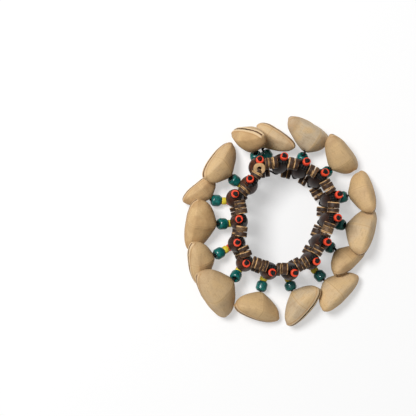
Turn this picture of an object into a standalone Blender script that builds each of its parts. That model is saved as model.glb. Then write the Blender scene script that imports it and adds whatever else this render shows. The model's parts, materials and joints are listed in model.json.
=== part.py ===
"""Seed pod shaker bracelet: barrel beads on two elastic bands, each with a seed pod on a beaded cord.

The bracelet stands on its lower band with the knotted ends of the cords up and the pods spread out
round it on the ground. Units are metres, +Z is up, and the origin is on the ground at the centre of the
lower band.
"""

import math
from collections import namedtuple

import bmesh
import bpy
from mathutils import Matrix, Quaternion, Vector
from mathutils.bvhtree import BVHTree

# Clearances
SEAT_GAP = 0.0003            # between pieces that rest on each other
CORD_CLEARANCE = 0.0006      # round a cord in the bead that it runs through
POD_CLEARANCE = 0.0010       # between one pod and the next, so that each can sway
POD_PLAY = 0.0018            # from the wall of a pod to the knot inside it, so that it can swing

# Barrel beads of dark wood
BARREL_LENGTH = 0.0210
BARREL_DIAMETER = 0.0096
BARREL_END_DIAMETER = 0.0050
BARREL_GAP = 0.0021          # between neighbours at their waists
UPPER_LIFT = 0.0017          # from a barrel's upper end to the elastic that passes it
LOWER_LIFT = 0.0029          # from the lower elastic up to a barrel's mouth, so that a red bead fits under it
BARREL_SIDES = 10
BARREL_RINGS = 6

# Cords
CORD_DIAMETER = 0.0012
KNOT_DIAMETER = 0.0022
KNOT_HEIGHT = 0.0018
STOPPER_DIAMETER = 0.0036    # the knot inside a pod, wider than the pod's hole
LASHING_DIAMETER = 0.0056    # turns that bind the cord to the elastic

# Small beads
RED_DIAMETER = 0.0041
RED_LENGTH = 0.0029
YELLOW_DIAMETER = 0.0042
YELLOW_LENGTH = 0.0031
GREEN_DIAMETER = 0.0063
GREEN_LENGTH = 0.0049
BEAD_GROOVE_DIAMETER = 0.0022
BEAD_SHOULDER = 0.0007       # length over which a small bead rounds off at its ends
BEAD_SIDES = 8

# Elastic bands and their coconut discs
ELASTIC_DIAMETER = 0.0016
ELASTIC_INSET = 0.0020       # the elastic passes this far inside the barrels' cords
DISC_DIAMETER = 0.0064
DISC_THICKNESS = 0.0019      # at least: the discs in one gap share it evenly
DISC_GROOVE_DEPTH = 0.0006
DISC_BEVEL = 0.00025
DISC_STEP = 0.0001           # in which a disc is moved along to clear a barrel's flank
BAND_SIDES = 8

# Seed pods: a girdle ridge in the middle, two lobes that taper to rounded tips, and a slit along the keel
POD_LENGTH = 0.0290
POD_CROWN = 0.0118           # from the long axis to the crown, where the cord goes in
POD_KEEL = 0.0046            # from the long axis to the keel
POD_THICKNESS = 0.0152
CROWN_TAPER = 0.46           # how soon the crown falls to the tips: 1 is a straight slope, less is fuller
FLANK_TAPER = 0.50           # the same for the flanks
FLANK_SWELL = 0.12           # extra fullness of the flanks near the tips
KEEL_FLATNESS = 2.5          # the keel stays straight for longer with more of it
KEEL_EDGE = 1.25             # 1 rounds the keel, more of it draws the keel to an edge
TIP_SHARE = 0.985            # of a lobe's length, where its tip is blunt
POD_WALL = 0.0013
POD_HOLE_DIAMETER = 0.0026
POD_SLIT_WIDTH = 0.0009
POD_SLIT_SHARE = 0.55        # of each lobe's length
POD_SIDES = 10
POD_RINGS = 4                # on each lobe

# Cords that carry the pods
DROP_START = 0.0006          # least distance from the barrel's axis out to the cord's elbow
STEEPEST_DROP = 0.80         # rise of such a cord over its length, at most

# The ring of barrels: its top is wider than its foot, and leans
RING_FLARE = 0.0026          # how much wider the radius is at the top
RING_LEAN_X = 0.0022
RING_LEAN_Y = 0.0024

# One row for each barrel, clockwise from the top of the ring. around and out move the barrel from an even
# spacing, in degrees and metres. swing turns its pod's cord from straight out, in degrees, slack is the cord
# before the beads, and bare is the cord between them and the pod. size is the pod's share of the full size,
# and ridge moves the girdle towards one tip. turn, tilt and roll set the pod: about the vertical, then one tip
# up, then the keel up, in degrees. perch is how far its neighbours hold it off the ground.
Station = namedtuple("Station", "around out swing slack bare size ridge turn tilt roll perch")
STATIONS = (
    Station(0.4, 0.0004, 36, 0.0002, 0.0015, 0.86, 0.26, -68, -12, 25, 0.0),
    Station(1.0, 0.0000, 3, 0.0002, 0.0004, 1.00, -0.27, -10, 27, -8, 0.0006),
    Station(3.4, 0.0007, -8, 0.0002, 0.0002, 0.95, -0.18, 2, 29, -6, 0.0),
    Station(1.2, 0.0006, -4, 0.0012, 0.0002, 0.90, 0.06, -2, -25, 8, 0.0),
    Station(1.6, -0.0016, -4, 0.0006, 0.0002, 1.00, 0.0, -12, -27, 4, 0.0),
    Station(-3.6, -0.0027, 18, 0.0006, 0.0002, 0.85, -0.10, -39, -29, 12, 0.0),
    Station(-2.4, 0.0006, 10, 0.0030, 0.0002, 0.97, -0.10, 0, -10, 5, 0.0),
    Station(-2.7, 0.0020, 8, 0.0002, 0.0002, 0.95, 0.10, 34, 14, 35, 0.0),
    Station(-0.1, 0.0020, -3, 0.0002, 0.0002, 0.98, 0.0, -4, -24, 20, 0.0),
    Station(-1.6, 0.0035, 7, 0.0010, 0.0002, 1.19, 0.0, -28, -33, 8, 0.0),
    Station(1.7, -0.0003, -3, 0.0024, 0.0002, 0.93, -0.10, -22, -30, 18, 0.0),
    Station(1.1, -0.0055, -5, 0.0010, 0.0002, 1.06, -0.14, -13, -22, 8, 0.0),
    Station(-3.5, -0.0016, 18, 0.0008, 0.0004, 0.75, -0.20, -48, 0, 15, 0.0),
    Station(-2.7, -0.0041, 11, 0.0006, 0.0002, 0.97, 0.10, -3, 28, 20, 0.0),
    Station(0.9, 0.0014, -24, 0.0002, 0.0002, 0.93, 0.10, -12, -54, 46, 0.0040),
)
FIRST_STATION_ANGLE = 90.0

# The order in which the pods came to lie on the ground and on each other, from below
STACKING = (13, 1, 7, 12, 6, 11, 5, 10, 4, 9, 8, 14, 2, 15, 3)
SETTLE_ROUNDS = 4

POD_COLOUR = (0.56, 0.42, 0.26)
BARREL_COLOUR = (0.09, 0.030, 0.018)
DROP_COLOUR = (0.01, 0.16, 0.13)
BAND_COLOUR = (0.14, 0.075, 0.04)


def clear_scene():
    """Removes every object from the scene."""
    for obj in list(bpy.data.objects):
        bpy.data.objects.remove(obj)


def material(name, colour, roughness):
    """A plain material of one colour."""
    made = bpy.data.materials.new(name)
    made.use_nodes = True
    shader = made.node_tree.nodes["Principled BSDF"]
    shader.inputs["Base Color"].default_value = (*colour, 1.0)
    shader.inputs["Roughness"].default_value = roughness
    shader.inputs["Metallic"].default_value = 0.0
    return made


def circle(centre, side, up, radius, sides):
    """The points of a circle round centre, in the plane of side and up."""
    turns = [2 * math.pi * i / sides for i in range(sides)]
    return [centre + radius * (math.cos(a) * side + math.sin(a) * up) for a in turns]


def loft(name, rings, joined=False):
    """A closed mesh through rings of points: the ends are capped, or joined into a loop."""
    made = bmesh.new()
    loops = [[made.verts.new(point) for point in ring] for ring in rings]
    pairs = list(zip(loops, loops[1:]))
    if joined:
        pairs.append((loops[-1], loops[0]))
    for first, second in pairs:
        for i in range(len(first)):
            j = (i + 1) % len(first)
            made.faces.new((first[i], first[j], second[j], second[i]))
    if not joined:
        made.faces.new(reversed(loops[0]))
        made.faces.new(loops[-1])
    bmesh.ops.recalc_face_normals(made, faces=made.faces)
    mesh = bpy.data.meshes.new(name)
    made.to_mesh(mesh)
    made.free()
    return mesh


def turned(name, profile, sides, joined=False):
    """A mesh turned about Z from (height, radius) points."""
    x_axis, y_axis = Vector((1, 0, 0)), Vector((0, 1, 0))
    rings = [circle(Vector((0, 0, z)), x_axis, y_axis, r, sides) for z, r in profile]
    return loft(name, rings, joined)


def add(name, mesh, finish=None, place=None, parent=None):
    """An object in the scene, shaded smooth up to its sharp edges. Without a finish it is a helper."""
    obj = bpy.data.objects.new(name, mesh)
    bpy.context.scene.collection.objects.link(obj)
    mesh.shade_smooth()
    mesh.set_sharp_from_angle(angle=math.radians(40))
    obj.parent = parent
    if place is not None:
        obj.matrix_local = place
    if finish is None:
        obj.hide_render = True
        obj.display_type = "WIRE"
    elif finish.name not in mesh.materials:
        mesh.materials.append(finish)
    return obj


def boolean(obj, other, operation):
    """Adds a Boolean of obj with other."""
    modifier = obj.modifiers.new(f"{operation.lower()}_{other.name}", "BOOLEAN")
    modifier.operation = operation
    modifier.object = other


# Layout of the barrels

def lower_disc_radius():
    """The lower band stands on the rims of its discs, so its elastic is this high."""
    return DISC_DIAMETER / 2


def mouth_height():
    """The barrels' lower ends clear the lower elastic."""
    return lower_disc_radius() + LOWER_LIFT


def ring_radius():
    """The ring's radius at the barrels' waists, from what is threaded side by side on it."""
    return len(STATIONS) * (BARREL_DIAMETER + BARREL_GAP) / (2 * math.pi)


def barrel_radius(along):
    """The barrel's radius this far from its lower end: a bow between the two flat ends."""
    bulge = BARREL_DIAMETER / 2 - BARREL_END_DIAMETER / 2
    return BARREL_END_DIAMETER / 2 + bulge * math.sin(math.pi * along / BARREL_LENGTH)


class Barrel:
    """Where one barrel stands: its mouth, its axis and the way out from the ring."""

    def __init__(self, number):
        row = STATIONS[number]
        angle = FIRST_STATION_ANGLE - 360 * number / len(STATIONS) + row.around
        self.angle = math.radians(angle)
        self.out = Vector((math.cos(self.angle), math.sin(self.angle), 0))
        foot_radius = ring_radius() - RING_FLARE / 2 + row.out
        top_radius = ring_radius() + RING_FLARE / 2 + row.out
        height = math.sqrt(BARREL_LENGTH**2 - RING_FLARE**2)
        lean = Vector((RING_LEAN_X, RING_LEAN_Y, height))
        self.mouth = foot_radius * self.out + Vector((0, 0, mouth_height()))
        top = top_radius * self.out + Vector((0, 0, mouth_height())) + lean
        self.axis = (top - self.mouth).normalized()

    def at(self, along, inset=0.0):
        """The point this far up the axis from the mouth, moved in towards the ring's middle by inset."""
        return self.mouth + along * self.axis - inset * self.out

    def place(self):
        """The frame with Z up the axis and its origin at the mouth."""
        across = self.axis.cross(self.out).normalized()
        forward = across.cross(self.axis)
        turn = Matrix((forward, across, self.axis)).transposed().to_4x4()
        return Matrix.Translation(self.mouth) @ turn

    def clears(self, point):
        """Whether a point is clear of the barrel."""
        along = self.axis.dot(point - self.mouth)
        if not -SEAT_GAP < along < BARREL_LENGTH + SEAT_GAP:
            return True
        inside = min(max(along, 0.0), BARREL_LENGTH)
        return (point - self.at(along)).length > barrel_radius(inside) + CORD_CLEARANCE


BARRELS = [Barrel(number) for number in range(len(STATIONS))]


def barrel_mesh():
    """One barrel bead with its bore, from its lower end up."""
    bore = CORD_DIAMETER / 2 + CORD_CLEARANCE
    steps = [BARREL_LENGTH * i / BARREL_RINGS for i in range(BARREL_RINGS + 1)]
    profile = [(z, barrel_radius(z)) for z in reversed(steps)]
    profile += [(0.0, bore), (BARREL_LENGTH, bore)]
    return turned("barrel_bead", profile, BARREL_SIDES, joined=True)


# Bands

def elastic_points(along):
    """Where the elastic passes each barrel, at this distance up the barrels' axes."""
    return [barrel.at(along, ELASTIC_INSET) for barrel in BARRELS]


def band_ring(centre, course, up, radius):
    """One ring of a band's surface, across its course."""
    side = course.cross(up).normalized()
    return circle(centre, side, side.cross(course).normalized(), radius, BAND_SIDES)


def disc_room(barrel, start, course):
    """How far along the elastic from its pass of a barrel the first disc is clear of barrel and beads."""
    room = RED_DIAMETER / 2 + CORD_CLEARANCE
    while True:
        rim = band_ring(start + room * course, course, barrel.axis, DISC_DIAMETER / 2)
        if all(barrel.clears(point) for point in rim):
            return room
        room += DISC_STEP


def disc_profile(begin, end):
    """(position, radius) along one stretch of elastic: its discs, side by side from begin to end."""
    count = int((end - begin) / DISC_THICKNESS)
    thickness = (end - begin) / max(count, 1)
    rim = DISC_DIAMETER / 2
    profile = []
    for number in range(count):
        left = begin + number * thickness
        right = left + thickness
        profile.append((left, rim - DISC_GROOVE_DEPTH if number else ELASTIC_DIAMETER / 2))
        profile += [(left + DISC_BEVEL, rim), (right - DISC_BEVEL, rim)]
    profile.append((end, ELASTIC_DIAMETER / 2))
    return profile


def band_mesh(name, along):
    """An elastic loop past all the barrels, threaded with the discs between them."""
    points = elastic_points(along)
    rings = []
    for number, start in enumerate(points):
        after = (number + 1) % len(points)
        here, there = BARRELS[number], BARRELS[after]
        length = (points[after] - start).length
        course = (points[after] - start).normalized()
        begin = disc_room(here, start, course)
        end = length - disc_room(there, points[after], -course)
        rings.append(band_ring(start, points[after] - points[number - 1], here.axis, ELASTIC_DIAMETER / 2))
        for position, radius in disc_profile(begin, end):
            rings.append(band_ring(start + position * course, course, here.axis + there.axis, radius))
    return loft(name, rings, joined=True)


def upper_elastic_height():
    """The upper elastic passes above the barrels' upper ends."""
    return BARREL_LENGTH + UPPER_LIFT


def tie_mesh():
    """The cord in one barrel, its lashing round the elastic, the red bead above that and the end knot."""
    cord, elastic = CORD_DIAMETER / 2, ELASTIC_DIAMETER / 2
    lashing, red, knot = LASHING_DIAMETER / 2, RED_DIAMETER / 2, KNOT_DIAMETER / 2
    start = BARREL_LENGTH + SEAT_GAP
    seat = upper_elastic_height() + elastic
    crown = seat + RED_LENGTH
    profile = [
        (SEAT_GAP, cord),
        (start, cord),
        (start + elastic / 2, lashing),
        (seat - elastic / 2, lashing),
        (seat, BEAD_GROOVE_DIAMETER / 2),
        (seat + BEAD_SHOULDER / 2, red),
        (crown - BEAD_SHOULDER / 2, red),
        (crown, knot),
        (crown + KNOT_HEIGHT / 2, knot),
        (crown + KNOT_HEIGHT, cord),
    ]
    return turned("tie", profile, BEAD_SIDES)


def build_bands(finish):
    """The lower band, and the upper band with the ties that hang from it."""
    lower_along = (lower_disc_radius() - mouth_height()) / BARRELS[0].axis.z
    add("lower_band", band_mesh("lower_band", lower_along), finish)
    upper = add("upper_band", band_mesh("upper_band", upper_elastic_height()), finish)
    ties = bmesh.new()
    one = tie_mesh()
    for barrel in BARRELS:
        placed = one.copy()
        placed.transform(barrel.place())
        ties.from_mesh(placed)
    mesh = bpy.data.meshes.new("ties")
    ties.to_mesh(mesh)
    ties.free()
    boolean(upper, add("ties_to_join", mesh), "UNION")


# Pods

def lobe_length(row, side):
    """The length of a pod's lobe towards the + or - tip."""
    return POD_LENGTH * row.size * (1 - side * row.ridge) / 2


def pod_section(share, scale, inset, sides):
    """One section of a pod, (crown, thickness) points at this share of a lobe from the ridge to its tip."""
    crown = (POD_CROWN * scale - inset) * (1 - share) ** CROWN_TAPER
    keel = (POD_KEEL * scale - inset) * (1 - share**KEEL_FLATNESS) ** 0.5
    half = (POD_THICKNESS / 2 * scale - inset) * (1 - share) ** FLANK_TAPER * (1 + FLANK_SWELL * share)
    points = []
    for i in range(sides):
        angle = 2 * math.pi * i / sides
        rise, across = math.cos(angle), math.sin(angle)
        if rise > 0:
            points.append((crown * rise, half * across))
        else:
            side = math.copysign(abs(across) ** KEEL_EDGE, across)
            points.append((-keel * (-rise) ** KEEL_EDGE, half * side))
    return points


def pod_shell(name, row, inset, sides, rings):
    """A pod's surface, or its inside at a depth of inset, with the hole's mouth at the origin."""
    shares = [0.5 * (1 - math.cos(math.pi * i / rings)) * TIP_SHARE for i in range(rings + 1)]
    loops = []
    for side in (-1, 1):
        reach = lobe_length(row, side) - inset
        half = [
            [
                Vector((side * share * reach, y - POD_CROWN * row.size, z))
                for y, z in pod_section(share, row.size, inset, sides)
            ]
            for share in shares
        ]
        loops = half[::-1] if side < 0 else loops + half[1:]
    return loft(name, loops)


def pod_slit(name, row):
    """The cutter for the slit that opens a pod along its keel."""
    keel = (POD_CROWN + POD_KEEL) * row.size
    made = bmesh.new()
    bmesh.ops.create_cube(made, size=1.0)
    low, high = (side * lobe_length(row, side) * POD_SLIT_SHARE for side in (-1, 1))
    depth = POD_KEEL * row.size
    bmesh.ops.scale(made, vec=(high - low, depth, POD_SLIT_WIDTH), verts=made.verts)
    bmesh.ops.translate(made, vec=((high + low) / 2, -keel, 0), verts=made.verts)
    mesh = bpy.data.meshes.new(name)
    made.to_mesh(mesh)
    made.free()
    return mesh


def pod_hole(name):
    """The cutter for the hole in a pod's crown."""
    reach = 2 * POD_WALL
    mesh = turned(name, [(-reach, POD_HOLE_DIAMETER / 2), (reach, POD_HOLE_DIAMETER / 2)], BEAD_SIDES)
    mesh.transform(Matrix.Rotation(math.radians(90), 4, "X"))
    return mesh


def beads_length():
    """The three beads of a pod's cord, one behind the other."""
    return RED_LENGTH + YELLOW_LENGTH + GREEN_LENGTH


class Drop:
    """Where one pod's cord runs and how its pod lies."""

    def __init__(self, number):
        self.row = STATIONS[number]
        self.threaded = beads_length() + self.row.bare
        barrel = BARRELS[number]
        self.heading = barrel.angle + math.radians(self.row.swing)
        self.out = Vector((math.cos(self.heading), math.sin(self.heading), 0))
        self.mouth = barrel.mouth
        self.rim_height = self.mouth.z - BARREL_END_DIAMETER / 2 * self.out.dot(barrel.axis)
        self.elbow_height = RED_DIAMETER / 2 + SEAT_GAP / 3
        turn = Matrix.Rotation(self.heading + math.radians(90 + self.row.turn), 3, "Z")
        tilt = Matrix.Rotation(math.radians(-self.row.tilt), 3, "Y")
        roll = Matrix.Rotation(math.radians(-self.row.roll), 3, "X")
        self.turn = turn @ tilt @ roll
        self.surface = pod_shell("surface", self.row, 0.0, 2 * POD_SIDES, 2 * POD_RINGS)
        self.inward = self.turn @ Vector((0, -1, 0))
        self.lead = (CORD_DIAMETER / 2 + SEAT_GAP) * self.inward
        self.corners = [self.lead + self.turn @ v.co for v in self.surface.vertices]
        standing = self.row.perch - min(corner.z for corner in self.corners)
        self.height = max(standing, self.lowest())

    def lowest(self):
        """The cord's least height at its end, with the green bead clear of the ground."""
        length = self.row.slack + self.threaded
        share = (length - self.row.bare - GREEN_LENGTH / 2) / length
        return self.elbow_height + (GREEN_DIAMETER / 2 + SEAT_GAP - self.elbow_height) / share

    def rise(self):
        """How far the cord rises from its elbow to its end."""
        return self.height - self.elbow_height

    def length(self):
        """The cord from its elbow to its end, with more slack let out where its pod lies high."""
        return max(self.row.slack + self.threaded, self.rise() / STEEPEST_DROP)

    def elbow(self):
        """Where the cord turns out to its beads, with the red bead clear of the barrel's rim."""
        slope = math.asin(self.rise() / self.length())
        room = RED_DIAMETER / 2 + SEAT_GAP
        over = (self.rim_height - self.elbow_height) * math.cos(slope) - room
        start = BARREL_END_DIAMETER / 2 - over / math.sin(slope)
        level = Vector((self.mouth.x, self.mouth.y, self.elbow_height))
        return level + max(DROP_START, start) * self.out

    def end(self):
        """The cord's end at the pod, where it turns into the hole."""
        rise = self.rise()
        reach = math.sqrt(self.length()**2 - rise**2)
        return self.elbow() + reach * self.out + Vector((0, 0, rise))

    def course(self):
        """The way along the cord from its elbow to its end."""
        return (self.end() - self.elbow()).normalized()

    def first_bead(self):
        """Where the beads start on the cord."""
        return self.elbow() + (self.length() - self.threaded) * self.course()

    def corner(self):
        """Where the cord turns to its beads: straight under the mouth, or just off the ground."""
        start, course = self.first_bead(), self.course()
        under = (start - self.mouth).dot(self.out) / course.dot(self.out)
        return start - min(under, (start.z - CORD_DIAMETER) / course.z) * course

    def place(self):
        """The pod's frame."""
        return Matrix.Translation(self.end() + self.lead) @ self.turn.to_4x4()

    def tree(self):
        """The pod's surface where it lies, for measuring against."""
        faces = [tuple(p.vertices) for p in self.surface.polygons]
        return BVHTree.FromPolygons([self.end() + c for c in self.corners], faces)

    def lift_over(self, other):
        """How far up this pod has to move to lie clear of another under it."""
        down, up, needed = Vector((0, 0, -1)), Vector((0, 0, 1)), 0.0
        start = POD_LENGTH
        mine, theirs = self.tree(), other.tree()
        for corner in self.corners:
            point = self.end() + corner
            hit = theirs.ray_cast(point + start * up, down)[0]
            if hit is not None and mine.ray_cast(point - start * up, up)[0].z > point.z - SEAT_GAP:
                needed = max(needed, hit.z - point.z + POD_CLEARANCE)
        for corner in other.corners:
            point = other.end() + corner
            hit = mine.ray_cast(point - start * up, up)[0]
            if hit is not None and theirs.ray_cast(point + start * up, down)[0].z < point.z + SEAT_GAP:
                needed = max(needed, point.z - hit.z + POD_CLEARANCE)
        return needed


def settle(drops):
    """Lays the pods on the ground and on each other, in their stacking order."""
    for count, number in enumerate(STACKING):
        drop = drops[number - 1]
        for _ in range(SETTLE_ROUNDS):
            below = [drops[n - 1] for n in STACKING[:count]]
            drop.height += max([drop.lift_over(other) for other in below], default=0.0)


DROPS = [Drop(number) for number in range(len(STATIONS))]
settle(DROPS)


def bead_profile(start, length, diameter):
    """(position, radius) along one small bead."""
    return [
        (start, BEAD_GROOVE_DIAMETER / 2),
        (start + BEAD_SHOULDER, diameter / 2),
        (start + length - BEAD_SHOULDER, diameter / 2),
    ]


def drop_mesh(name, drop):
    """A pod's cord from the barrel's mouth, with its red, yellow and green beads, to the knot in the pod."""
    corner, first, end, course = drop.corner(), drop.first_bead(), drop.end(), drop.course()
    cord, mouth = CORD_DIAMETER / 2, drop.mouth - Vector((0, 0, SEAT_GAP))
    side = course.cross(Vector((0, 0, 1))).normalized()
    up = side.cross(course)
    down = course.rotation_difference(corner - mouth)
    bend = course.rotation_difference(drop.inward)
    half_down, half_bend = Quaternion().slerp(down, 0.5), Quaternion().slerp(bend, 0.5)
    profile = bead_profile(0.0, RED_LENGTH, RED_DIAMETER)
    profile += bead_profile(RED_LENGTH, YELLOW_LENGTH, YELLOW_DIAMETER)
    profile += bead_profile(RED_LENGTH + YELLOW_LENGTH, GREEN_LENGTH, GREEN_DIAMETER)
    if (first - corner).length > CORD_DIAMETER:
        profile.insert(0, (-SEAT_GAP, cord))
    if drop.row.bare > CORD_DIAMETER:
        profile.append((beads_length(), cord))
    rings = [
        circle(mouth, down @ side, down @ up, cord, BEAD_SIDES),
        circle(corner, half_down @ side, half_down @ up, cord, BEAD_SIDES),
    ]
    for position, radius in profile:
        rings.append(circle(first + position * course, side, up, radius, BEAD_SIDES))
    rings.append(circle(end, half_bend @ side, half_bend @ up, cord, BEAD_SIDES))
    inside, stopper = drop.lead.length + POD_WALL + POD_PLAY, STOPPER_DIAMETER / 2
    knot = [(0.0, cord), (stopper / 2, stopper), (3 * stopper / 2, stopper), (2 * stopper, cord)]
    for position, radius in knot:
        centre = end + (inside + position) * drop.inward
        rings.append(circle(centre, bend @ side, bend @ up, radius, BEAD_SIDES))
    return loft(name, [[point - drop.mouth for point in ring] for ring in rings])


def build_drop(number, cord_finish, pod_finish):
    """One pod and the cord that carries it."""
    drop, label = DROPS[number], f"{number + 1:02d}"
    name = f"pod_cord_{label}"
    add(name, drop_mesh(name, drop), cord_finish, Matrix.Translation(drop.mouth))
    shell = pod_shell(f"pod_{label}", drop.row, 0.0, POD_SIDES, POD_RINGS)
    pod = add(f"pod_{label}", shell, pod_finish, drop.place())
    inside = pod_shell(f"pod_inside_{label}", drop.row, POD_WALL, POD_SIDES - 2, POD_RINGS - 1)
    cutters = (inside, pod_slit(f"pod_slit_{label}", drop.row), pod_hole(f"pod_hole_{label}"))
    for mesh in cutters:
        boolean(pod, add(mesh.name, mesh, parent=pod), "DIFFERENCE")


def main():
    """Builds the whole bracelet in an empty scene."""
    clear_scene()
    build_bands(material("coconut_and_elastic", BAND_COLOUR, 0.6))
    barrel_finish = material("dark_wood", BARREL_COLOUR, 0.35)
    cord_finish = material("cord_and_beads", DROP_COLOUR, 0.3)
    pod_finish = material("seed_pod", POD_COLOUR, 0.6)
    mesh = barrel_mesh()
    for number, barrel in enumerate(BARRELS):
        add(f"barrel_bead_{number + 1:02d}", mesh, barrel_finish, barrel.place())
        build_drop(number, cord_finish, pod_finish)


main()
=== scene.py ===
"""Seed pod shaker bracelet: the dressed bracelet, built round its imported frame.

The bracelet stands on its pod end on a pale floor and is seen straight from above, with the knotted ends of
its cords towards the camera. Units are metres, +Z is up, +X is right and +Y is up in the picture.
"""

import json
import logging
import math
import random
from dataclasses import dataclass
from enum import Enum
from typing import Any, Iterable, Sequence

import bpy
import numpy as np
from mathutils import Matrix, Vector, noise


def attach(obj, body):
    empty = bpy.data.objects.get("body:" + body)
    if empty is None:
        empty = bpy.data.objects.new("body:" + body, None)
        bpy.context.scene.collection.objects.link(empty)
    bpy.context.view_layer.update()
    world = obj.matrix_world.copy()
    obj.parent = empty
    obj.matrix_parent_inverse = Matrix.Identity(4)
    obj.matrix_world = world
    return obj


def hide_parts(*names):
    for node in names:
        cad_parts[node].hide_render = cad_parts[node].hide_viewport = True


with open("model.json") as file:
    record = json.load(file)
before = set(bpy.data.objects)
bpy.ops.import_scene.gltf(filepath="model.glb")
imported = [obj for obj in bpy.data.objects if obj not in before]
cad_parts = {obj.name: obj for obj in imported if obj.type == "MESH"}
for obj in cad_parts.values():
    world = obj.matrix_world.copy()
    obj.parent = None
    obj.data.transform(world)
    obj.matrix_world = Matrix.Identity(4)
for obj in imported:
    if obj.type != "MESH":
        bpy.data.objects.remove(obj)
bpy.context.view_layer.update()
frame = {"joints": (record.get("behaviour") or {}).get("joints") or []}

log = logging.getLogger("bracelet")

UP = Vector((0.0, 0.0, 1.0))
FULL_TURN = 2 * math.pi
ANY_SPIN = (0.0, 6.28)
SHARP_ANGLE = math.radians(50.0)
KNOT_STEPS = 72
KNOT_REACH = (0.62, 0.38)
KNOT_RISE = 0.55
SEED = 15

Colour = tuple[float, float, float]
Stops = tuple[tuple[float, Colour], ...]
Span = tuple[float, float]


class Slot(Enum):
    """The record's material slots."""

    BAND = "coconut_and_elastic"
    BARREL = "dark_wood"
    CORD = "cord_and_beads"
    POD = "seed_pod"


class BeadKind(Enum):
    """The small beads on a pod's cord, in their order from the barrel."""

    RED = "red"
    YELLOW = "yellow"
    GREEN = "green"


class BandEnd(Enum):
    """The two ends of the ring that an elastic runs round."""

    UPPER = "upper"
    LOWER = "lower"


# Shader maths


class Wire:
    """A shader socket that takes part in Python expressions."""

    def __init__(self, graph: "Graph", socket: bpy.types.NodeSocket) -> None:
        """Keeps the socket and the graph that it belongs to."""
        self.graph = graph
        self.socket = socket

    def math(self, operation: str, *values: Any) -> "Wire":
        """Adds a Math node.

        Args:
            operation: The Math node's operation.
            values: Its inputs, numbers or wires.

        Returns:
            The node's result.
        """
        return self.graph.node("ShaderNodeMath", {"operation": operation}, dict(enumerate(values)))

    def __add__(self, other: Any) -> "Wire":
        """This plus a value."""
        return self.math("ADD", self, other)

    def __radd__(self, other: Any) -> "Wire":
        """A value plus this."""
        return self.math("ADD", other, self)

    def __sub__(self, other: Any) -> "Wire":
        """This less a value."""
        return self.math("SUBTRACT", self, other)

    def __rsub__(self, other: Any) -> "Wire":
        """A value less this."""
        return self.math("SUBTRACT", other, self)

    def __mul__(self, other: Any) -> "Wire":
        """This times a value."""
        return self.math("MULTIPLY", self, other)

    def __rmul__(self, other: Any) -> "Wire":
        """A value times this."""
        return self.math("MULTIPLY", other, self)

    def absolute(self) -> "Wire":
        """This without its sign."""
        return self.math("ABSOLUTE", self)

    def centred(self) -> "Wire":
        """This less a half, so that noise swings about 0."""
        return self - 0.5

    def wave(self) -> "Wire":
        """A wave from 0 to 1 along this."""
        return 0.5 + 0.5 * self.math("SINE", self)

    def step(self, low: float, high: float) -> "Wire":
        """A smooth step from 0 at low to 1 at high.

        Args:
            low: Where the step starts.
            high: Where it ends, below low for a falling step.

        Returns:
            The step, from 0 to 1.
        """
        ends = (low, high, 0.0, 1.0) if low < high else (high, low, 1.0, 0.0)
        settings = {"interpolation_type": "SMOOTHSTEP"}
        return self.graph.node("ShaderNodeMapRange", settings, {0: self, **dict(enumerate(ends, 1))})


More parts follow.
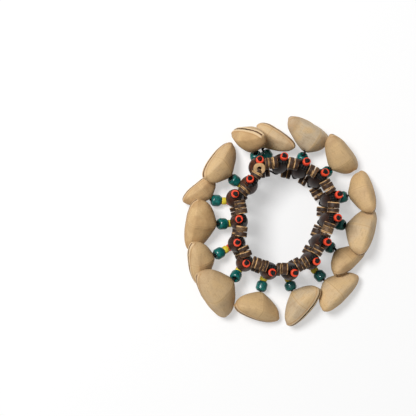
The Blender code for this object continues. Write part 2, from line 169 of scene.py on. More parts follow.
class Graph:
    """A material's node tree, with one Principled shader."""

    def __init__(self, name: str) -> None:
        """Makes the material.

        Args:
            name: The material's name.
        """
        self.material = bpy.data.materials.new(name)
        self.material.use_nodes = True
        self.tree = self.material.node_tree
        self.shader = self.tree.nodes["Principled BSDF"]

    def node(self, kind: str, settings: dict | None = None, sockets: dict | None = None,
             output: str | int = 0) -> Wire:
        """Adds a node.

        Args:
            kind: The node's type.
            settings: Its own properties, set first; stops holds a ramp's positions and colours.
            sockets: Values or wires by input name or index.
            output: The name or index of the output to give back.

        Returns:
            The output as a wire.
        """
        made = self.tree.nodes.new(kind)
        for key, value in (settings or {}).items():
            if key == "stops":
                self._fill_ramp(made.color_ramp, value)
            else:
                setattr(made, key, value)
        for key, value in (sockets or {}).items():
            self.feed(made.inputs[key], value)
        return Wire(self, made.outputs[output])

    def _fill_ramp(self, ramp: bpy.types.ColorRamp, stops: Stops) -> None:
        """Sets a ramp's stops.

        Args:
            ramp: The ramp, with two stops so far.
            stops: The positions and colours that it gets.
        """
        while len(ramp.elements) < len(stops):
            ramp.elements.new(1.0)
        for element, (position, colour) in zip(ramp.elements, stops):
            element.position = position
            element.color = (*colour, 1.0)

    def feed(self, socket: bpy.types.NodeSocket, value: Any) -> None:
        """Links a wire to a socket, or sets the socket's own value.

        Args:
            socket: The input to feed.
            value: A wire, a number, a vector or a colour without its alpha.
        """
        if isinstance(value, Wire):
            self.tree.links.new(value.socket, socket)
        elif isinstance(value, tuple) and len(value) == 3 and socket.type == "RGBA":
            socket.default_value = (*value, 1.0)
        else:
            socket.default_value = value

    def set(self, **sockets: Any) -> None:
        """Feeds the Principled shader, with underscores for the spaces in its socket names."""
        for key, value in sockets.items():
            self.feed(self.shader.inputs[key.replace("_", " ")], value)

    def attribute(self, name: str, output: str = "Fac") -> Wire:
        """A value that the mesh holds under this name."""
        return self.node("ShaderNodeAttribute", {"attribute_name": name}, output=output)

    def scaled(self, vector: Wire, factors: tuple[float, float, float]) -> Wire:
        """A vector with each part multiplied."""
        return self.node("ShaderNodeVectorMath", {"operation": "MULTIPLY"}, {0: vector, 1: factors})

    def shifted(self, vector: Wire, shift: Wire) -> Wire:
        """A vector with a value added to each part."""
        return self.node("ShaderNodeVectorMath", {"operation": "ADD"}, {0: vector, 1: shift})

    def noise(self, vector: Wire, scale: float, detail: float = 2.0, roughness: float = 0.5) -> Wire:
        """Noise from 0 to 1, with scale in features to a metre."""
        values = {"Vector": vector, "Scale": scale, "Detail": detail, "Roughness": roughness}
        return self.node("ShaderNodeTexNoise", None, values)

    def cells(self, vector: Wire, scale: float) -> Wire:
        """The distance to the middle of the nearest of scattered cells."""
        return self.node("ShaderNodeTexVoronoi", None, {"Vector": vector, "Scale": scale}, "Distance")

    def mix(self, factor: Wire, first: Wire | Colour, second: Wire | Colour) -> Wire:
        """A colour between first and second."""
        return self.node("ShaderNodeMix", {"data_type": "RGBA"}, {0: factor, 6: first, 7: second}, 2)

    def ramp(self, factor: Wire, stops: Stops) -> Wire:
        """A colour read from stops."""
        return self.node("ShaderNodeValToRGB", {"stops": stops}, {0: factor}, "Color")

    def length(self, vector: Wire) -> Wire:
        """The length of a vector."""
        return self.node("ShaderNodeVectorMath", {"operation": "LENGTH"}, {0: vector}, "Value")

    def part(self, vector: Wire, axis: str) -> Wire:
        """One part of a vector, X, Y or Z."""
        return self.node("ShaderNodeSeparateXYZ", None, {0: vector}, axis)

    def ray(self, kind: str) -> Wire:
        """Whether the ray that meets the surface is of a kind, 1 or 0."""
        return self.node("ShaderNodeLightPath", output=kind)

    def show(self, shader: Wire) -> None:
        """Makes a shader the material's surface."""
        self.tree.links.new(shader.socket, self.tree.nodes["Material Output"].inputs["Surface"])

    def bump(self, height: Wire, distance: float, strength: float = 1.0) -> None:
        """Bumps the shader's normal by a height, 1 being distance."""
        values = {"Height": height, "Distance": distance, "Strength": strength}
        self.set(Normal=self.node("ShaderNodeBump", None, values, "Normal"))


# Finishes


@dataclass(frozen=True)
class Veil:
    """How far one colour covers another: by a share, where a mask passes through a span."""

    span: Span
    share: float

    def over(self, mask: Wire, patches: Wire | None = None) -> Wire:
        """The cover that a mask gives.

        Args:
            mask: The mask.
            patches: Where the cover shows, or None for everywhere.

        Returns:
            The cover, from 0 to the share.
        """
        cover = mask.step(*self.span)
        return (cover if patches is None else cover * patches) * self.share


@dataclass(frozen=True)
class Drift:
    """A value that changes with a wire: its base, and what the wire adds."""

    base: float
    gain: float

    def at(self, wire: Wire) -> Wire:
        """The value that goes with a wire."""
        return self.base + self.gain * wire


@dataclass(frozen=True)
class PodFinish:
    """Woody seed shell: tan with faint fibres along the pod, a pale rim and a dark crack at its seam."""

    pale: Colour = (0.695, 0.480, 0.238)
    tans: Stops = (
        (0.0, (0.605, 0.485, 0.330)),
        (0.5, (0.625, 0.435, 0.232)),
        # This dark end darkens pods 12 and 15; on pod 15 it is partly painted shade.
        (1.0, (0.530, 0.335, 0.155)),
    )
    stain: Colour = (0.330, 0.185, 0.085)
    rust: Colour = (0.430, 0.215, 0.075)
    rim: Colour = (0.740, 0.560, 0.340)
    crack: Colour = (0.120, 0.052, 0.018)
    inside: Colour = (0.085, 0.042, 0.018)
    growth: float = 5200.0
    growth_warp: float = 9.0
    cloud_scale: float = 120.0
    warp_scale: float = 210.0
    pore_scale: float = 2400.0
    fibre_scale: tuple[float, float, float] = (110.0, 1500.0, 1500.0)
    speck_scale: tuple[float, float, float] = (480.0, 800.0, 800.0)
    cloud_paling: Veil = Veil((0.40, 0.68), 0.75)
    cloud_stain: Veil = Veil((0.46, 0.28), 0.30)
    fibre_stain: Veil = Veil((0.48, 0.74), 0.34)
    speck_stain: Veil = Veil((0.12, 0.04), 0.60)
    tip_stain: Veil = Veil((0.78, 1.0), 0.42)
    tip_evenness: float = 0.4
    ripple_rust: float = 0.10
    girdle_paling: Veil = Veil((0.0012, 0.0004), 0.75)
    girdle_line: Veil = Veil((0.0004, 0.0001), 0.60)
    open_gape: Span = (0.0004, 0.0012)
    rust_edge: Span = (0.0027, 0.0019)
    rust_cover: Drift = Drift(0.40, 0.25)
    rim_edge: Span = (0.0020, 0.0015)
    rim_cover: Drift = Drift(0.35, 0.55)
    crack_edge: Span = (0.00060, 0.00035)
    ragged: float = 0.0006
    roughness: Drift = Drift(0.52, 0.16)
    specular: float = 0.26
    fibre_height: float = 0.5
    ripple_height: float = 0.3
    pore_height: float = 0.3
    cloud_height: float = 0.6
    speck_pits: Veil = Veil((0.11, 0.03), 0.5)
    relief: float = 0.00016
    relief_strength: float = 0.75

    def material(self) -> bpy.types.Material:
        """Makes the shell's material, which reads the values that each pod holds for it.

        Returns:
            The material.
        """
        graph = Graph("seed_pod_shell")
        shell = graph.attribute("shell", "Vector")
        seam, girdle = graph.attribute("seam"), graph.attribute("girdle")
        clouds = graph.noise(shell, self.cloud_scale, detail=3.0, roughness=0.55)
        fibres = graph.noise(graph.scaled(shell, self.fibre_scale), 1.0, detail=4.0, roughness=0.6)
        specks = graph.cells(graph.scaled(shell, self.speck_scale), 1.0)
        pores = graph.noise(shell, self.pore_scale, roughness=0.6)
        ripple = (girdle * self.growth + self.growth_warp * graph.noise(shell, self.warp_scale)).wave()
        colour = graph.ramp(graph.attribute("tone"), self.tans)
        colour = graph.mix(self.cloud_paling.over(clouds), colour, self.pale)
        stains = ((self.cloud_stain, clouds), (self.fibre_stain, fibres), (self.speck_stain, specks))
        for veil, mask in stains:
            colour = graph.mix(veil.over(mask), colour, self.stain)
        colour = graph.mix(ripple * clouds * self.ripple_rust, colour, self.rust)
        tips = self.tip_stain.over(graph.attribute("tip"))
        colour = graph.mix(tips * (self.tip_evenness + clouds), colour, self.stain)
        colour = graph.mix(self.girdle_paling.over(girdle, clouds), colour, self.pale)
        colour = graph.mix(self.girdle_line.over(girdle, clouds), colour, self.stain)
        edge = seam + self.ragged * pores.centred()
        split = graph.attribute("gape").step(*self.open_gape)
        colour = graph.mix(edge.step(*self.rust_edge) * self.rust_cover.at(split), colour, self.rust)
        colour = graph.mix(edge.step(*self.rim_edge) * self.rim_cover.at(split), colour, self.rim)
        colour = graph.mix(edge.step(*self.crack_edge), colour, self.crack)
        colour = graph.mix(graph.attribute("lining"), colour, self.inside)
        graph.set(Base_Color=colour, Roughness=self.roughness.at(fibres), Specular_IOR_Level=self.specular)
        height = fibres * self.fibre_height + ripple * self.ripple_height + pores * self.pore_height
        height = height + clouds * self.cloud_height - self.speck_pits.over(specks)
        graph.bump(height, self.relief, self.relief_strength)
        return graph.material


@dataclass(frozen=True)
class BarrelFinish:
    """Dark wood under a clear polish, from nearly black to a red brown."""

    black: Colour = (0.016, 0.009, 0.007)
    brown: Colour = (0.058, 0.020, 0.011)
    red: Colour = (0.135, 0.042, 0.020)
    bare: Colour = (0.010, 0.007, 0.006)
    grain_scale: tuple[float, float, float] = (1100.0, 1100.0, 55.0)
    cloud_scale: float = 160.0
    grain_share: float = 0.7
    cloud_share: float = 0.5
    streak_span: Span = (0.50, 0.78)
    streak_cover: Drift = Drift(0.12, 0.88)
    roughness: Drift = Drift(0.32, 0.20)
    specular: float = 0.08
    coat: Drift = Drift(0.06, -0.05)
    coat_roughness: float = 0.20
    relief: float = 0.00008
    relief_strength: float = 0.4

    def material(self) -> bpy.types.Material:
        """Makes the polished wood, with its grain up the barrel.

        Returns:
            The material.
        """
        graph = Graph("polished_dark_wood")
        grain_map, rim = graph.attribute("grain", "Vector"), graph.attribute("rim")
        grain = graph.noise(graph.scaled(grain_map, self.grain_scale), 1.0, detail=4.0, roughness=0.6)
        cloud = graph.noise(grain_map, self.cloud_scale)
        tone = graph.attribute("tone")
        colour = graph.mix(tone, self.black, self.brown)
        streaks = (grain * self.grain_share + cloud * self.cloud_share).step(*self.streak_span)
        colour = graph.mix(streaks * self.streak_cover.at(tone), colour, self.red)
        colour = graph.mix(rim, colour, self.bare)
        graph.set(Base_Color=colour, Roughness=self.roughness.at(grain), Specular_IOR_Level=self.specular)
        graph.set(Coat_Weight=self.coat.at(rim), Coat_Roughness=self.coat_roughness)
        graph.bump(grain, self.relief, self.relief_strength)
        return graph.material


@dataclass(frozen=True)
class CoconutFinish:
    """Coconut shell discs: brown and fibrous round the rim, with tan cut faces and worn tan edges."""

    rims: Stops = (
        (0.00, (0.400, 0.240, 0.110)),
        (0.12, (0.064, 0.029, 0.013)),
        (0.45, (0.034, 0.015, 0.008)),
        (0.75, (0.053, 0.025, 0.012)),
        (1.00, (0.090, 0.044, 0.021)),
    )
    dark: Colour = (0.022, 0.011, 0.007)
    face: Colour = (0.640, 0.415, 0.205)
    worn: Colour = (0.620, 0.375, 0.165)
    half_thickness: float = 0.00095
    radius: float = 0.0032
    streak_scale: tuple[float, float, float] = (900.0, 900.0, 2600.0)
    fleck_scale: float = 1300.0
    blotch_scale: float = 420.0
    rim_streaks: Veil = Veil((0.58, 0.34), 0.75)
    aged_tones: Span = (0.0, 0.2)
    face_stain: Span = (0.58, 0.40)
    face_stain_cover: Drift = Drift(0.30, 0.30)
    face_flecks: Veil = Veil((0.16, 0.07), 0.7)
    face_edge: Span = (0.94, 0.86)
    wander: float = 0.00040
    far_side: float = 0.00025
    sides: Span = (-0.0001, 0.0001)
    worn_side: Span = (0.84, 0.97)
    worn_edge: Span = (0.84, 0.92)
    worn_patches: Span = (0.38, 0.52)
    worn_cover: Drift = Drift(0.25, 0.75)
    roughness: Drift = Drift(0.44, 0.22)
    specular: float = 0.35
    streak_height: float = 0.7
    fleck_pits: Veil = Veil((0.14, 0.05), 0.5)
    relief: float = 0.00016
    relief_strength: float = 0.6

    @staticmethod
    def of(size: float, shares: Span) -> Span:
        """The span between two shares of a size."""
        return shares[0] * size, shares[1] * size

    def material(self) -> bpy.types.Material:
        """Makes the shell's material, which reads each disc's own place and tone.

        Returns:
            The material.
        """
        graph = Graph("coconut_shell")
        # A disc's tone is its own colour on the upper band, and painted shade on the lower band, where all
        # tones are dark.
        place, tone = graph.attribute("place", "Vector"), graph.attribute("tone")
        shifted = graph.shifted(place, tone)
        radius = graph.length(graph.scaled(place, (1.0, 1.0, 0.0)))
        across = graph.part(place, "Z")
        streaks = graph.noise(graph.scaled(shifted, self.streak_scale), 1.0, detail=4.0, roughness=0.62)
        flecks = graph.cells(shifted, self.fleck_scale)
        blotch = graph.noise(shifted, self.blotch_scale, detail=3.0, roughness=0.6)
        rim = graph.mix(self.rim_streaks.over(streaks), graph.ramp(tone, self.rims), self.dark)
        stained = (streaks * 0.5 + blotch * 0.5).step(*self.face_stain)
        stained = stained * self.face_stain_cover.at(tone.step(*self.aged_tones))
        face = graph.mix(stained, self.face, self.dark)
        face = graph.mix(self.face_flecks.over(flecks), face, self.dark)
        colour = graph.mix(radius.step(*self.of(self.radius, self.face_edge)), rim, face)
        far = self.far_side * across.step(*self.sides)
        reach = across.absolute() + self.wander * blotch.centred() + far
        worn = reach.step(*self.of(self.half_thickness, self.worn_side))
        worn = worn * radius.step(*self.of(self.radius, self.worn_edge))
        worn = worn * self.worn_cover.at(blotch.step(*self.worn_patches))
        colour = graph.mix(worn, colour, self.worn)
        graph.set(Base_Color=colour, Roughness=self.roughness.at(blotch), Specular_IOR_Level=self.specular)
        height = streaks * self.streak_height - self.fleck_pits.over(flecks)
        graph.bump(height, self.relief, self.relief_strength)
        return graph.material


@dataclass(frozen=True)
class BeadFinish:
    """A small bead of one colour, mottled, and darker towards its hole."""

    name: str
    body: Colour
    mottle: Colour
    hole: Colour
    coat: float
    roughness: float
    mottle_scale: float = 520.0
    scuff_scale: float = 2400.0
    mottle_span: Span = (0.38, 0.68)
    hole_edge: Span = (0.00125, 0.00085)
    scuffing: float = 0.20
    specular: float = 0.35
    coat_roughness: float = 0.12
    mottle_height: float = 0.6
    scuff_height: float = 0.4
    relief: float = 0.00008
    relief_strength: float = 0.35

    def material(self) -> bpy.types.Material:
        """Makes the bead's material.

        Returns:
            The material.
        """
        graph = Graph(f"{self.name}_bead")
        place = graph.attribute("place", "Vector")
        shifted = graph.shifted(place, graph.attribute("tone"))
        mottle = graph.noise(shifted, self.mottle_scale, detail=3.0, roughness=0.6)
        scuffs = graph.noise(shifted, self.scuff_scale, roughness=0.6)
        radius = graph.length(graph.scaled(place, (1.0, 1.0, 0.0)))
        colour = graph.mix(mottle.step(*self.mottle_span), self.body, self.mottle)
        colour = graph.mix(radius.step(*self.hole_edge), colour, self.hole)
        graph.set(Base_Color=colour, Roughness=self.roughness + self.scuffing * scuffs)
        graph.set(Specular_IOR_Level=self.specular, Coat_Weight=self.coat, Coat_Roughness=self.coat_roughness)
        height = mottle * self.mottle_height + scuffs * self.scuff_height
        graph.bump(height, self.relief, self.relief_strength)
        return graph.material


@dataclass(frozen=True)
class CordFinish:
    """Black cord of twisted plies, or plain black elastic."""

    name: str
    deep: Colour
    worn: Colour
    plies: float
    roughness: float
    twist: float = 5200.0
    fuzz_scale: float = 90.0
    wear: float = 0.6
    fuzz_roughness: float = 0.15
    specular: float = 0.30
    fuzz_height: float = 0.3
    relief: float = 0.00012
    relief_strength: float = 0.5

    def material(self) -> bpy.types.Material:
        """Makes the cord's material, with its plies running round it.

        Returns:
            The material.
        """
        graph = Graph(self.name)
        spun = graph.attribute("spun", "Vector")
        angle = spun.math("ARCTAN2", graph.part(spun, "Y"), graph.part(spun, "X"))
        lay = angle * self.plies + graph.part(spun, "Z") * self.twist
        fuzz = graph.noise(spun, self.fuzz_scale, detail=3.0, roughness=0.6)
        height = lay.wave()
        colour = graph.mix(height * self.wear * fuzz, self.deep, self.worn)
        graph.set(Base_Color=colour, Specular_IOR_Level=self.specular)
        graph.set(Roughness=self.roughness + self.fuzz_roughness * fuzz)
        graph.bump(height + fuzz * self.fuzz_height, self.relief, self.relief_strength)
        return graph.material


BEAD_FINISHES = {
    BeadKind.RED: BeadFinish("red", body=(0.80, 0.050, 0.016), mottle=(0.87, 0.085, 0.026),
                             hole=(0.28, 0.015, 0.008), coat=0.05, roughness=0.40),
    BeadKind.YELLOW: BeadFinish("yellow", body=(0.78, 0.60, 0.040), mottle=(0.86, 0.71, 0.075),
                                hole=(0.38, 0.27, 0.02), coat=0.15, roughness=0.34),
    BeadKind.GREEN: BeadFinish("green", body=(0.003, 0.096, 0.088), mottle=(0.010, 0.190, 0.168),
                               hole=(0.002, 0.02, 0.018), coat=0.50, roughness=0.22),
}
CORD_FINISH = CordFinish("black_cord", deep=(0.005, 0.005, 0.005), worn=(0.026, 0.027, 0.026),
                         plies=2.0, roughness=0.55)
ELASTIC_FINISH = CordFinish("black_elastic", deep=(0.006, 0.006, 0.007), worn=(0.018, 0.018, 0.020),
                            plies=5.0, roughness=0.45)


# Meshes


def give(mesh: bpy.types.Mesh, name: str, values: np.ndarray) -> None:
    """Stores a value for each point on a mesh.

    Args:
        mesh: The mesh that gets the values.
        name: The name that the material reads.
        values: One number or one vector for each point.
    """
    kind = "FLOAT_VECTOR" if values.ndim == 2 else "FLOAT"
    key = "vector" if values.ndim == 2 else "value"
    mesh.attributes.new(name, kind, "POINT").data.foreach_set(key, values.astype(np.float32).ravel())


def mesh_of(name: str, points: np.ndarray, faces: Sequence[Sequence[int]]) -> bpy.types.Mesh:
    """Makes a smooth mesh with its sharp edges kept.

    Args:
        name: The mesh's name.
        points: Its points.
        faces: Its faces, by point number, facing out.

    Returns:
        The mesh.
    """
    mesh = bpy.data.meshes.new(name)
    mesh.from_pydata(points.tolist(), [], [list(face) for face in faces])
    mesh.shade_smooth()
    mesh.set_sharp_from_angle(angle=SHARP_ANGLE)
    return mesh


def piece(mesh: bpy.types.Mesh, finish: bpy.types.Material | None, body: str,
          nodes: Iterable[str] = ()) -> bpy.types.Object:
    """Puts a finished mesh into the scene.

    Args:
        mesh: The mesh, in its place.
        finish: Its material, or None where the mesh has one.
        body: The body that it moves with.
        nodes: The solids that it stands for.

    Returns:
        The object, named as its mesh.
    """
    obj = bpy.data.objects.new(mesh.name, mesh)
    bpy.context.scene.collection.objects.link(obj)
    if finish is not None:
        mesh.materials.clear()
        mesh.materials.append(finish)
    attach(obj, body)
    if nodes:
        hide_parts(*nodes)
    log.info("%s: %d faces on %s", obj.name, len(mesh.polygons), body)
    return obj


def grid_faces(rows: int, columns: int, closed_rows: bool = False) -> list[tuple[int, int, int, int]]:
    """The faces of a grid that closes round its columns.

    Args:
        rows: The number of rings.
        columns: The points in each ring.
        closed_rows: Whether the last ring joins the first.

    Returns:
        The faces, by point number.
    """
    faces = []
    for i in range(rows if closed_rows else rows - 1):
        here, there = i * columns, (i + 1) % rows * columns
        for j in range(columns):
            k = (j + 1) % columns
            faces.append((here + j, here + k, there + k, there + j))
    return faces


def smooth_path(points: Sequence[Vector], steps: int, closed: bool = False) -> list[Vector]:
    """A smooth curve through points.

    Args:
        points: The points that it passes.
        steps: The steps between two points.
        closed: Whether it returns to its start.

    Returns:
        The points of the curve.
    """
    count = len(points)
    made = []
    for i in range(count if closed else count - 1):
        around = [(i + k) % count if closed else min(max(i + k, 0), count - 1) for k in (-1, 0, 1, 2)]
        a, b, c, d = (points[k] for k in around)
        for step in range(steps):
            t = step / steps
            made.append(0.5 * (2 * b + (c - a) * t + (2 * a - 5 * b + 4 * c - d) * t**2
                               + (3 * b - a - 3 * c + d) * t**3))
    return made if closed else made + [points[-1].copy()]


def tube(name: str, path: Sequence[Vector], radius: float, sides: int = 12,
         closed: bool = False) -> bpy.types.Mesh:
    """A round cord along a path.

    Args:
        name: The mesh's name.
        path: The points along its middle.
        radius: Its radius.
        sides: The points round it.
        closed: Whether the path is a loop.

    Returns:
        The mesh, which knows where each point lies round and along the cord.
    """
    count = len(path)
    rings, spun, along = [], [], 0.0
    side = None
    for i, point in enumerate(path):
        before = path[i - 1] if closed or i else point
        after = path[(i + 1) % count] if closed or i + 1 < count else point
        course = (after - before).normalized()
        if side is None:
            side = course.orthogonal().normalized()
        side = (side - side.dot(course) * course).normalized()
        up = course.cross(side)
        along += (point - path[i - 1]).length if i else 0.0
        for j in range(sides):
            angle = FULL_TURN * j / sides
            rings.append(point + radius * (math.cos(angle) * side + math.sin(angle) * up))
            spun.append((math.cos(angle), math.sin(angle), along))
    faces = grid_faces(count, sides, closed)
    if not closed:
        faces.append(tuple(reversed(range(sides))))
        faces.append(tuple(range((count - 1) * sides, count * sides)))
    mesh = mesh_of(name, np.array(rings), faces)
    give(mesh, "spun", np.array(spun))
    return mesh


def joined(name: str, meshes: Sequence[bpy.types.Mesh]) -> bpy.types.Mesh:
    """One mesh of several tubes.

    Args:
        name: The new mesh's name.
        meshes: The tubes, which are used up.

    Returns:
        The mesh.
    """
    points, faces, spun = [], [], []
    for mesh in meshes:
        start = len(points)
        points += [v.co.copy() for v in mesh.vertices]
        faces += [[start + v for v in p.vertices] for p in mesh.polygons]
        spun += [tuple(v.vector) for v in mesh.attributes["spun"].data]
        bpy.data.meshes.remove(mesh)
    made = mesh_of(name, np.array(points), faces)
    give(made, "spun", np.array(spun))
    return made


def knot_path(size: float, place: Matrix) -> list[Vector]:
    """The course of a small tight knot.

    Args:
        size: Its radius.
        place: Where it sits, with Z along the cord.

    Returns:
        The points of the closed course.
    """
    points = []
    for i in range(KNOT_STEPS):
        t = FULL_TURN * i / KNOT_STEPS
        reach = size * (KNOT_REACH[0] + KNOT_REACH[1] * math.cos(3 * t))
        rise = KNOT_RISE * size * math.sin(3 * t)
        points.append(place @ Vector((reach * math.cos(2 * t), reach * math.sin(2 * t), rise)))
    return points


def facing(axis: Vector, spin: float = 0.0) -> Matrix:
    """A turn that brings Z to an axis, after a spin about Z in radians."""
    return axis.to_track_quat("Z", "Y").to_matrix() @ Matrix.Rotation(spin, 3, "Z")


def seated(middle: Vector, axis: Vector, spin: float = 0.0) -> Matrix:
    """A place at a middle with Z along an axis."""
    return Matrix.Translation(middle) @ facing(axis, spin).to_4x4()


# Threaded rings: discs and small beads


@dataclass(frozen=True)
class Threaded:
    """Where one ring is threaded: its middle, its turn, its stretch and its tone, which on the lower band's
    discs is painted shade.
    """

    middle: Vector
    turn: Matrix
    stretch: tuple[float, float, float]
    tone: float


@dataclass(frozen=True)
class RingShape:
    """The shape of a threaded ring before it is stretched."""

    outer: float
    bore: float
    length: float
    rounding: float
    unevenness: float
    segments: int
    corner_steps: int

    def inputs(self) -> dict[str, float]:
        """The shape as the node tree takes it.

        Returns:
            The tree's inputs by name.
        """
        return {"Outer Radius": self.outer, "Bore Radius": self.bore, "Length": self.length,
                "Rounding": self.rounding, "Unevenness": self.unevenness,
                "Segments": self.segments, "Corner Steps": self.corner_steps}


class RingTree:
    """The node tree that threads rounded rings at points: coconut discs and small beads."""

    INPUTS = {
        "Geometry": "NodeSocketGeometry",
        "Outer Radius": "NodeSocketFloat",
        "Bore Radius": "NodeSocketFloat",
        "Length": "NodeSocketFloat",
        "Rounding": "NodeSocketFloat",
        "Unevenness": "NodeSocketFloat",
        "Segments": "NodeSocketInt",
        "Corner Steps": "NodeSocketInt",
        "Finish": "NodeSocketMaterial",
    }
    LUMPS = 420.0

    def __init__(self) -> None:
        """Builds the tree once."""
        self.tree = bpy.data.node_groups.new("threaded_rings", "GeometryNodeTree")
        face = self.tree.interface
        self.sockets = {name: face.new_socket(name, in_out="INPUT", socket_type=kind)
                        for name, kind in self.INPUTS.items()}
        face.new_socket("Geometry", in_out="OUTPUT", socket_type="NodeSocketGeometry")
        self._wire()

    def _add(self, kind: str, settings: dict | None = None, sockets: dict | None = None) -> bpy.types.Node:
        """Adds a node.

        Args:
            kind: The node's type.
            settings: Its own properties.
            sockets: Values, or (node, output) pairs, by input name.

        Returns:
            The node.
        """
        made = self.tree.nodes.new(kind)
        for key, value in (settings or {}).items():
            setattr(made, key, value)
        for key, value in (sockets or {}).items():
            if isinstance(value, tuple) and isinstance(value[0], bpy.types.Node):
                self.tree.links.new(value[0].outputs[value[1]], made.inputs[key])
            else:
                made.inputs[key].default_value = value
        return made

    def _sum(self, operation: str, first: Any, second: Any) -> tuple[bpy.types.Node, int]:
        """Adds a Math node and gives its result."""
        return self._add("ShaderNodeMath", {"operation": operation}, {0: first, 1: second}), 0

    def _wire(self) -> None:
        """Lays out the tree: a rounded section round a circle, threaded at every point and made real."""
        given = self._add("NodeGroupInput")
        outer, bore = (given, "Outer Radius"), (given, "Bore Radius")
        middle = self._sum("MULTIPLY", self._sum("ADD", outer, bore), 0.5)
        wall = self._sum("SUBTRACT", outer, bore)
        hoop = self._add("GeometryNodeCurvePrimitiveCircle", None,
                         {"Resolution": (given, "Segments"), "Radius": middle})
        section = self._add("GeometryNodeCurvePrimitiveQuadrilateral", None,
                            {"Width": wall, "Height": (given, "Length")})
        rounded = self._add("GeometryNodeFilletCurve", {"mode": "POLY"},
                            {"Curve": (section, 0), "Radius": (given, "Rounding"),
                             "Count": (given, "Corner Steps")})
        ring = self._add("GeometryNodeCurveToMesh", None,
                         {"Curve": (hoop, 0), "Profile Curve": (rounded, 0)})
        position, vector = self._add("GeometryNodeInputPosition"), {"data_type": "FLOAT_VECTOR"}
        kept = self._add("GeometryNodeStoreNamedAttribute", {**vector, "domain": "POINT"},
                         {"Geometry": (ring, 0), "Name": "place", "Value": (position, 0)})
        smooth = self._add("GeometryNodeSetShadeSmooth", None, {"Geometry": (kept, 0)})
        turn, stretch = (self._add("GeometryNodeInputNamedAttribute", vector, {"Name": name})
                         for name in ("turn", "stretch"))
        threaded = self._add("GeometryNodeInstanceOnPoints", None,
                             {"Points": (given, "Geometry"), "Instance": (smooth, 0),
                              "Rotation": (turn, 0), "Scale": (stretch, 0)})
        real = self._add("GeometryNodeRealizeInstances", None, {"Geometry": (threaded, 0)})
        lumps = self._add("ShaderNodeTexNoise", None, {"Scale": self.LUMPS, "Detail": 2.0})
        swell = self._sum("MULTIPLY", self._sum("SUBTRACT", (lumps, 0), 0.5), (given, "Unevenness"))
        outward = self._add("GeometryNodeInputNormal")
        shift = self._add("ShaderNodeVectorMath", {"operation": "SCALE"},
                          {"Vector": (outward, 0), "Scale": swell})
        worn = self._add("GeometryNodeSetPosition", None, {"Geometry": (real, 0), "Offset": (shift, 0)})
        dressed = self._add("GeometryNodeSetMaterial", None,
                            {"Geometry": (worn, 0), "Material": (given, "Finish")})
        self._add("NodeGroupOutput", None, {"Geometry": (dressed, 0)})

    def thread(self, name: str, rings: Sequence[Threaded], shape: RingShape,
               finish: bpy.types.Material) -> bpy.types.Mesh:
        """Threads rings.

        Args:
            name: The name of the mesh.
            rings: Where each ring goes.
            shape: The shape that they share.
            finish: The rings' material.

        Returns:
            One plain mesh with all the rings.
        """
        seats = bpy.data.meshes.new(f"{name}_seats")
        seats.from_pydata([tuple(ring.middle) for ring in rings], [], [])
        give(seats, "turn", np.array([tuple(ring.turn.to_euler()) for ring in rings]))
        give(seats, "stretch", np.array([ring.stretch for ring in rings]))
        give(seats, "tone", np.array([ring.tone for ring in rings]))
        holder = bpy.data.objects.new(f"{name}_seats", seats)
        bpy.context.scene.collection.objects.link(holder)
        modifier = holder.modifiers.new("threaded", "NODES")
        modifier.node_group = self.tree
        for key, value in {**shape.inputs(), "Finish": finish}.items():
            modifier[self.sockets[key].identifier] = value
        graph = bpy.context.evaluated_depsgraph_get()
        mesh = bpy.data.meshes.new_from_object(holder.evaluated_get(graph), depsgraph=graph)
        mesh.name = name
        holder.modifiers.remove(modifier)
        bpy.data.objects.remove(holder)
        return mesh


# Layout of the strands


@dataclass(frozen=True)
class Lay:
    """How one strand lies.

    around and swing turn its barrel and its cord, in degrees. slack and bare are the cord before and behind
    the beads. size and ridge shape its pod, and turn, tilt and roll lay it, in degrees. gape is the width of
    its seam, and split the share of a lobe in which it stands open. tone and barrel_tone are the warmth of
    its pod and its barrel, and pod 15's dark tone is partly painted shade. blunt fills out the pod's ends,
    and snug brings the last bead up to it, both less where the pod needs room to move. spare draws the pod's
    sides in for the same reason.
    """

    around: float
    swing: float
    slack: float
    bare: float
    size: float
    ridge: float
    turn: float
    tilt: float
    roll: float
    gape: float
    tone: float
    barrel_tone: float
    split: float = 0.62
    blunt: float = 0.27
    snug: float = 0.0007
    spare: float = 0.0


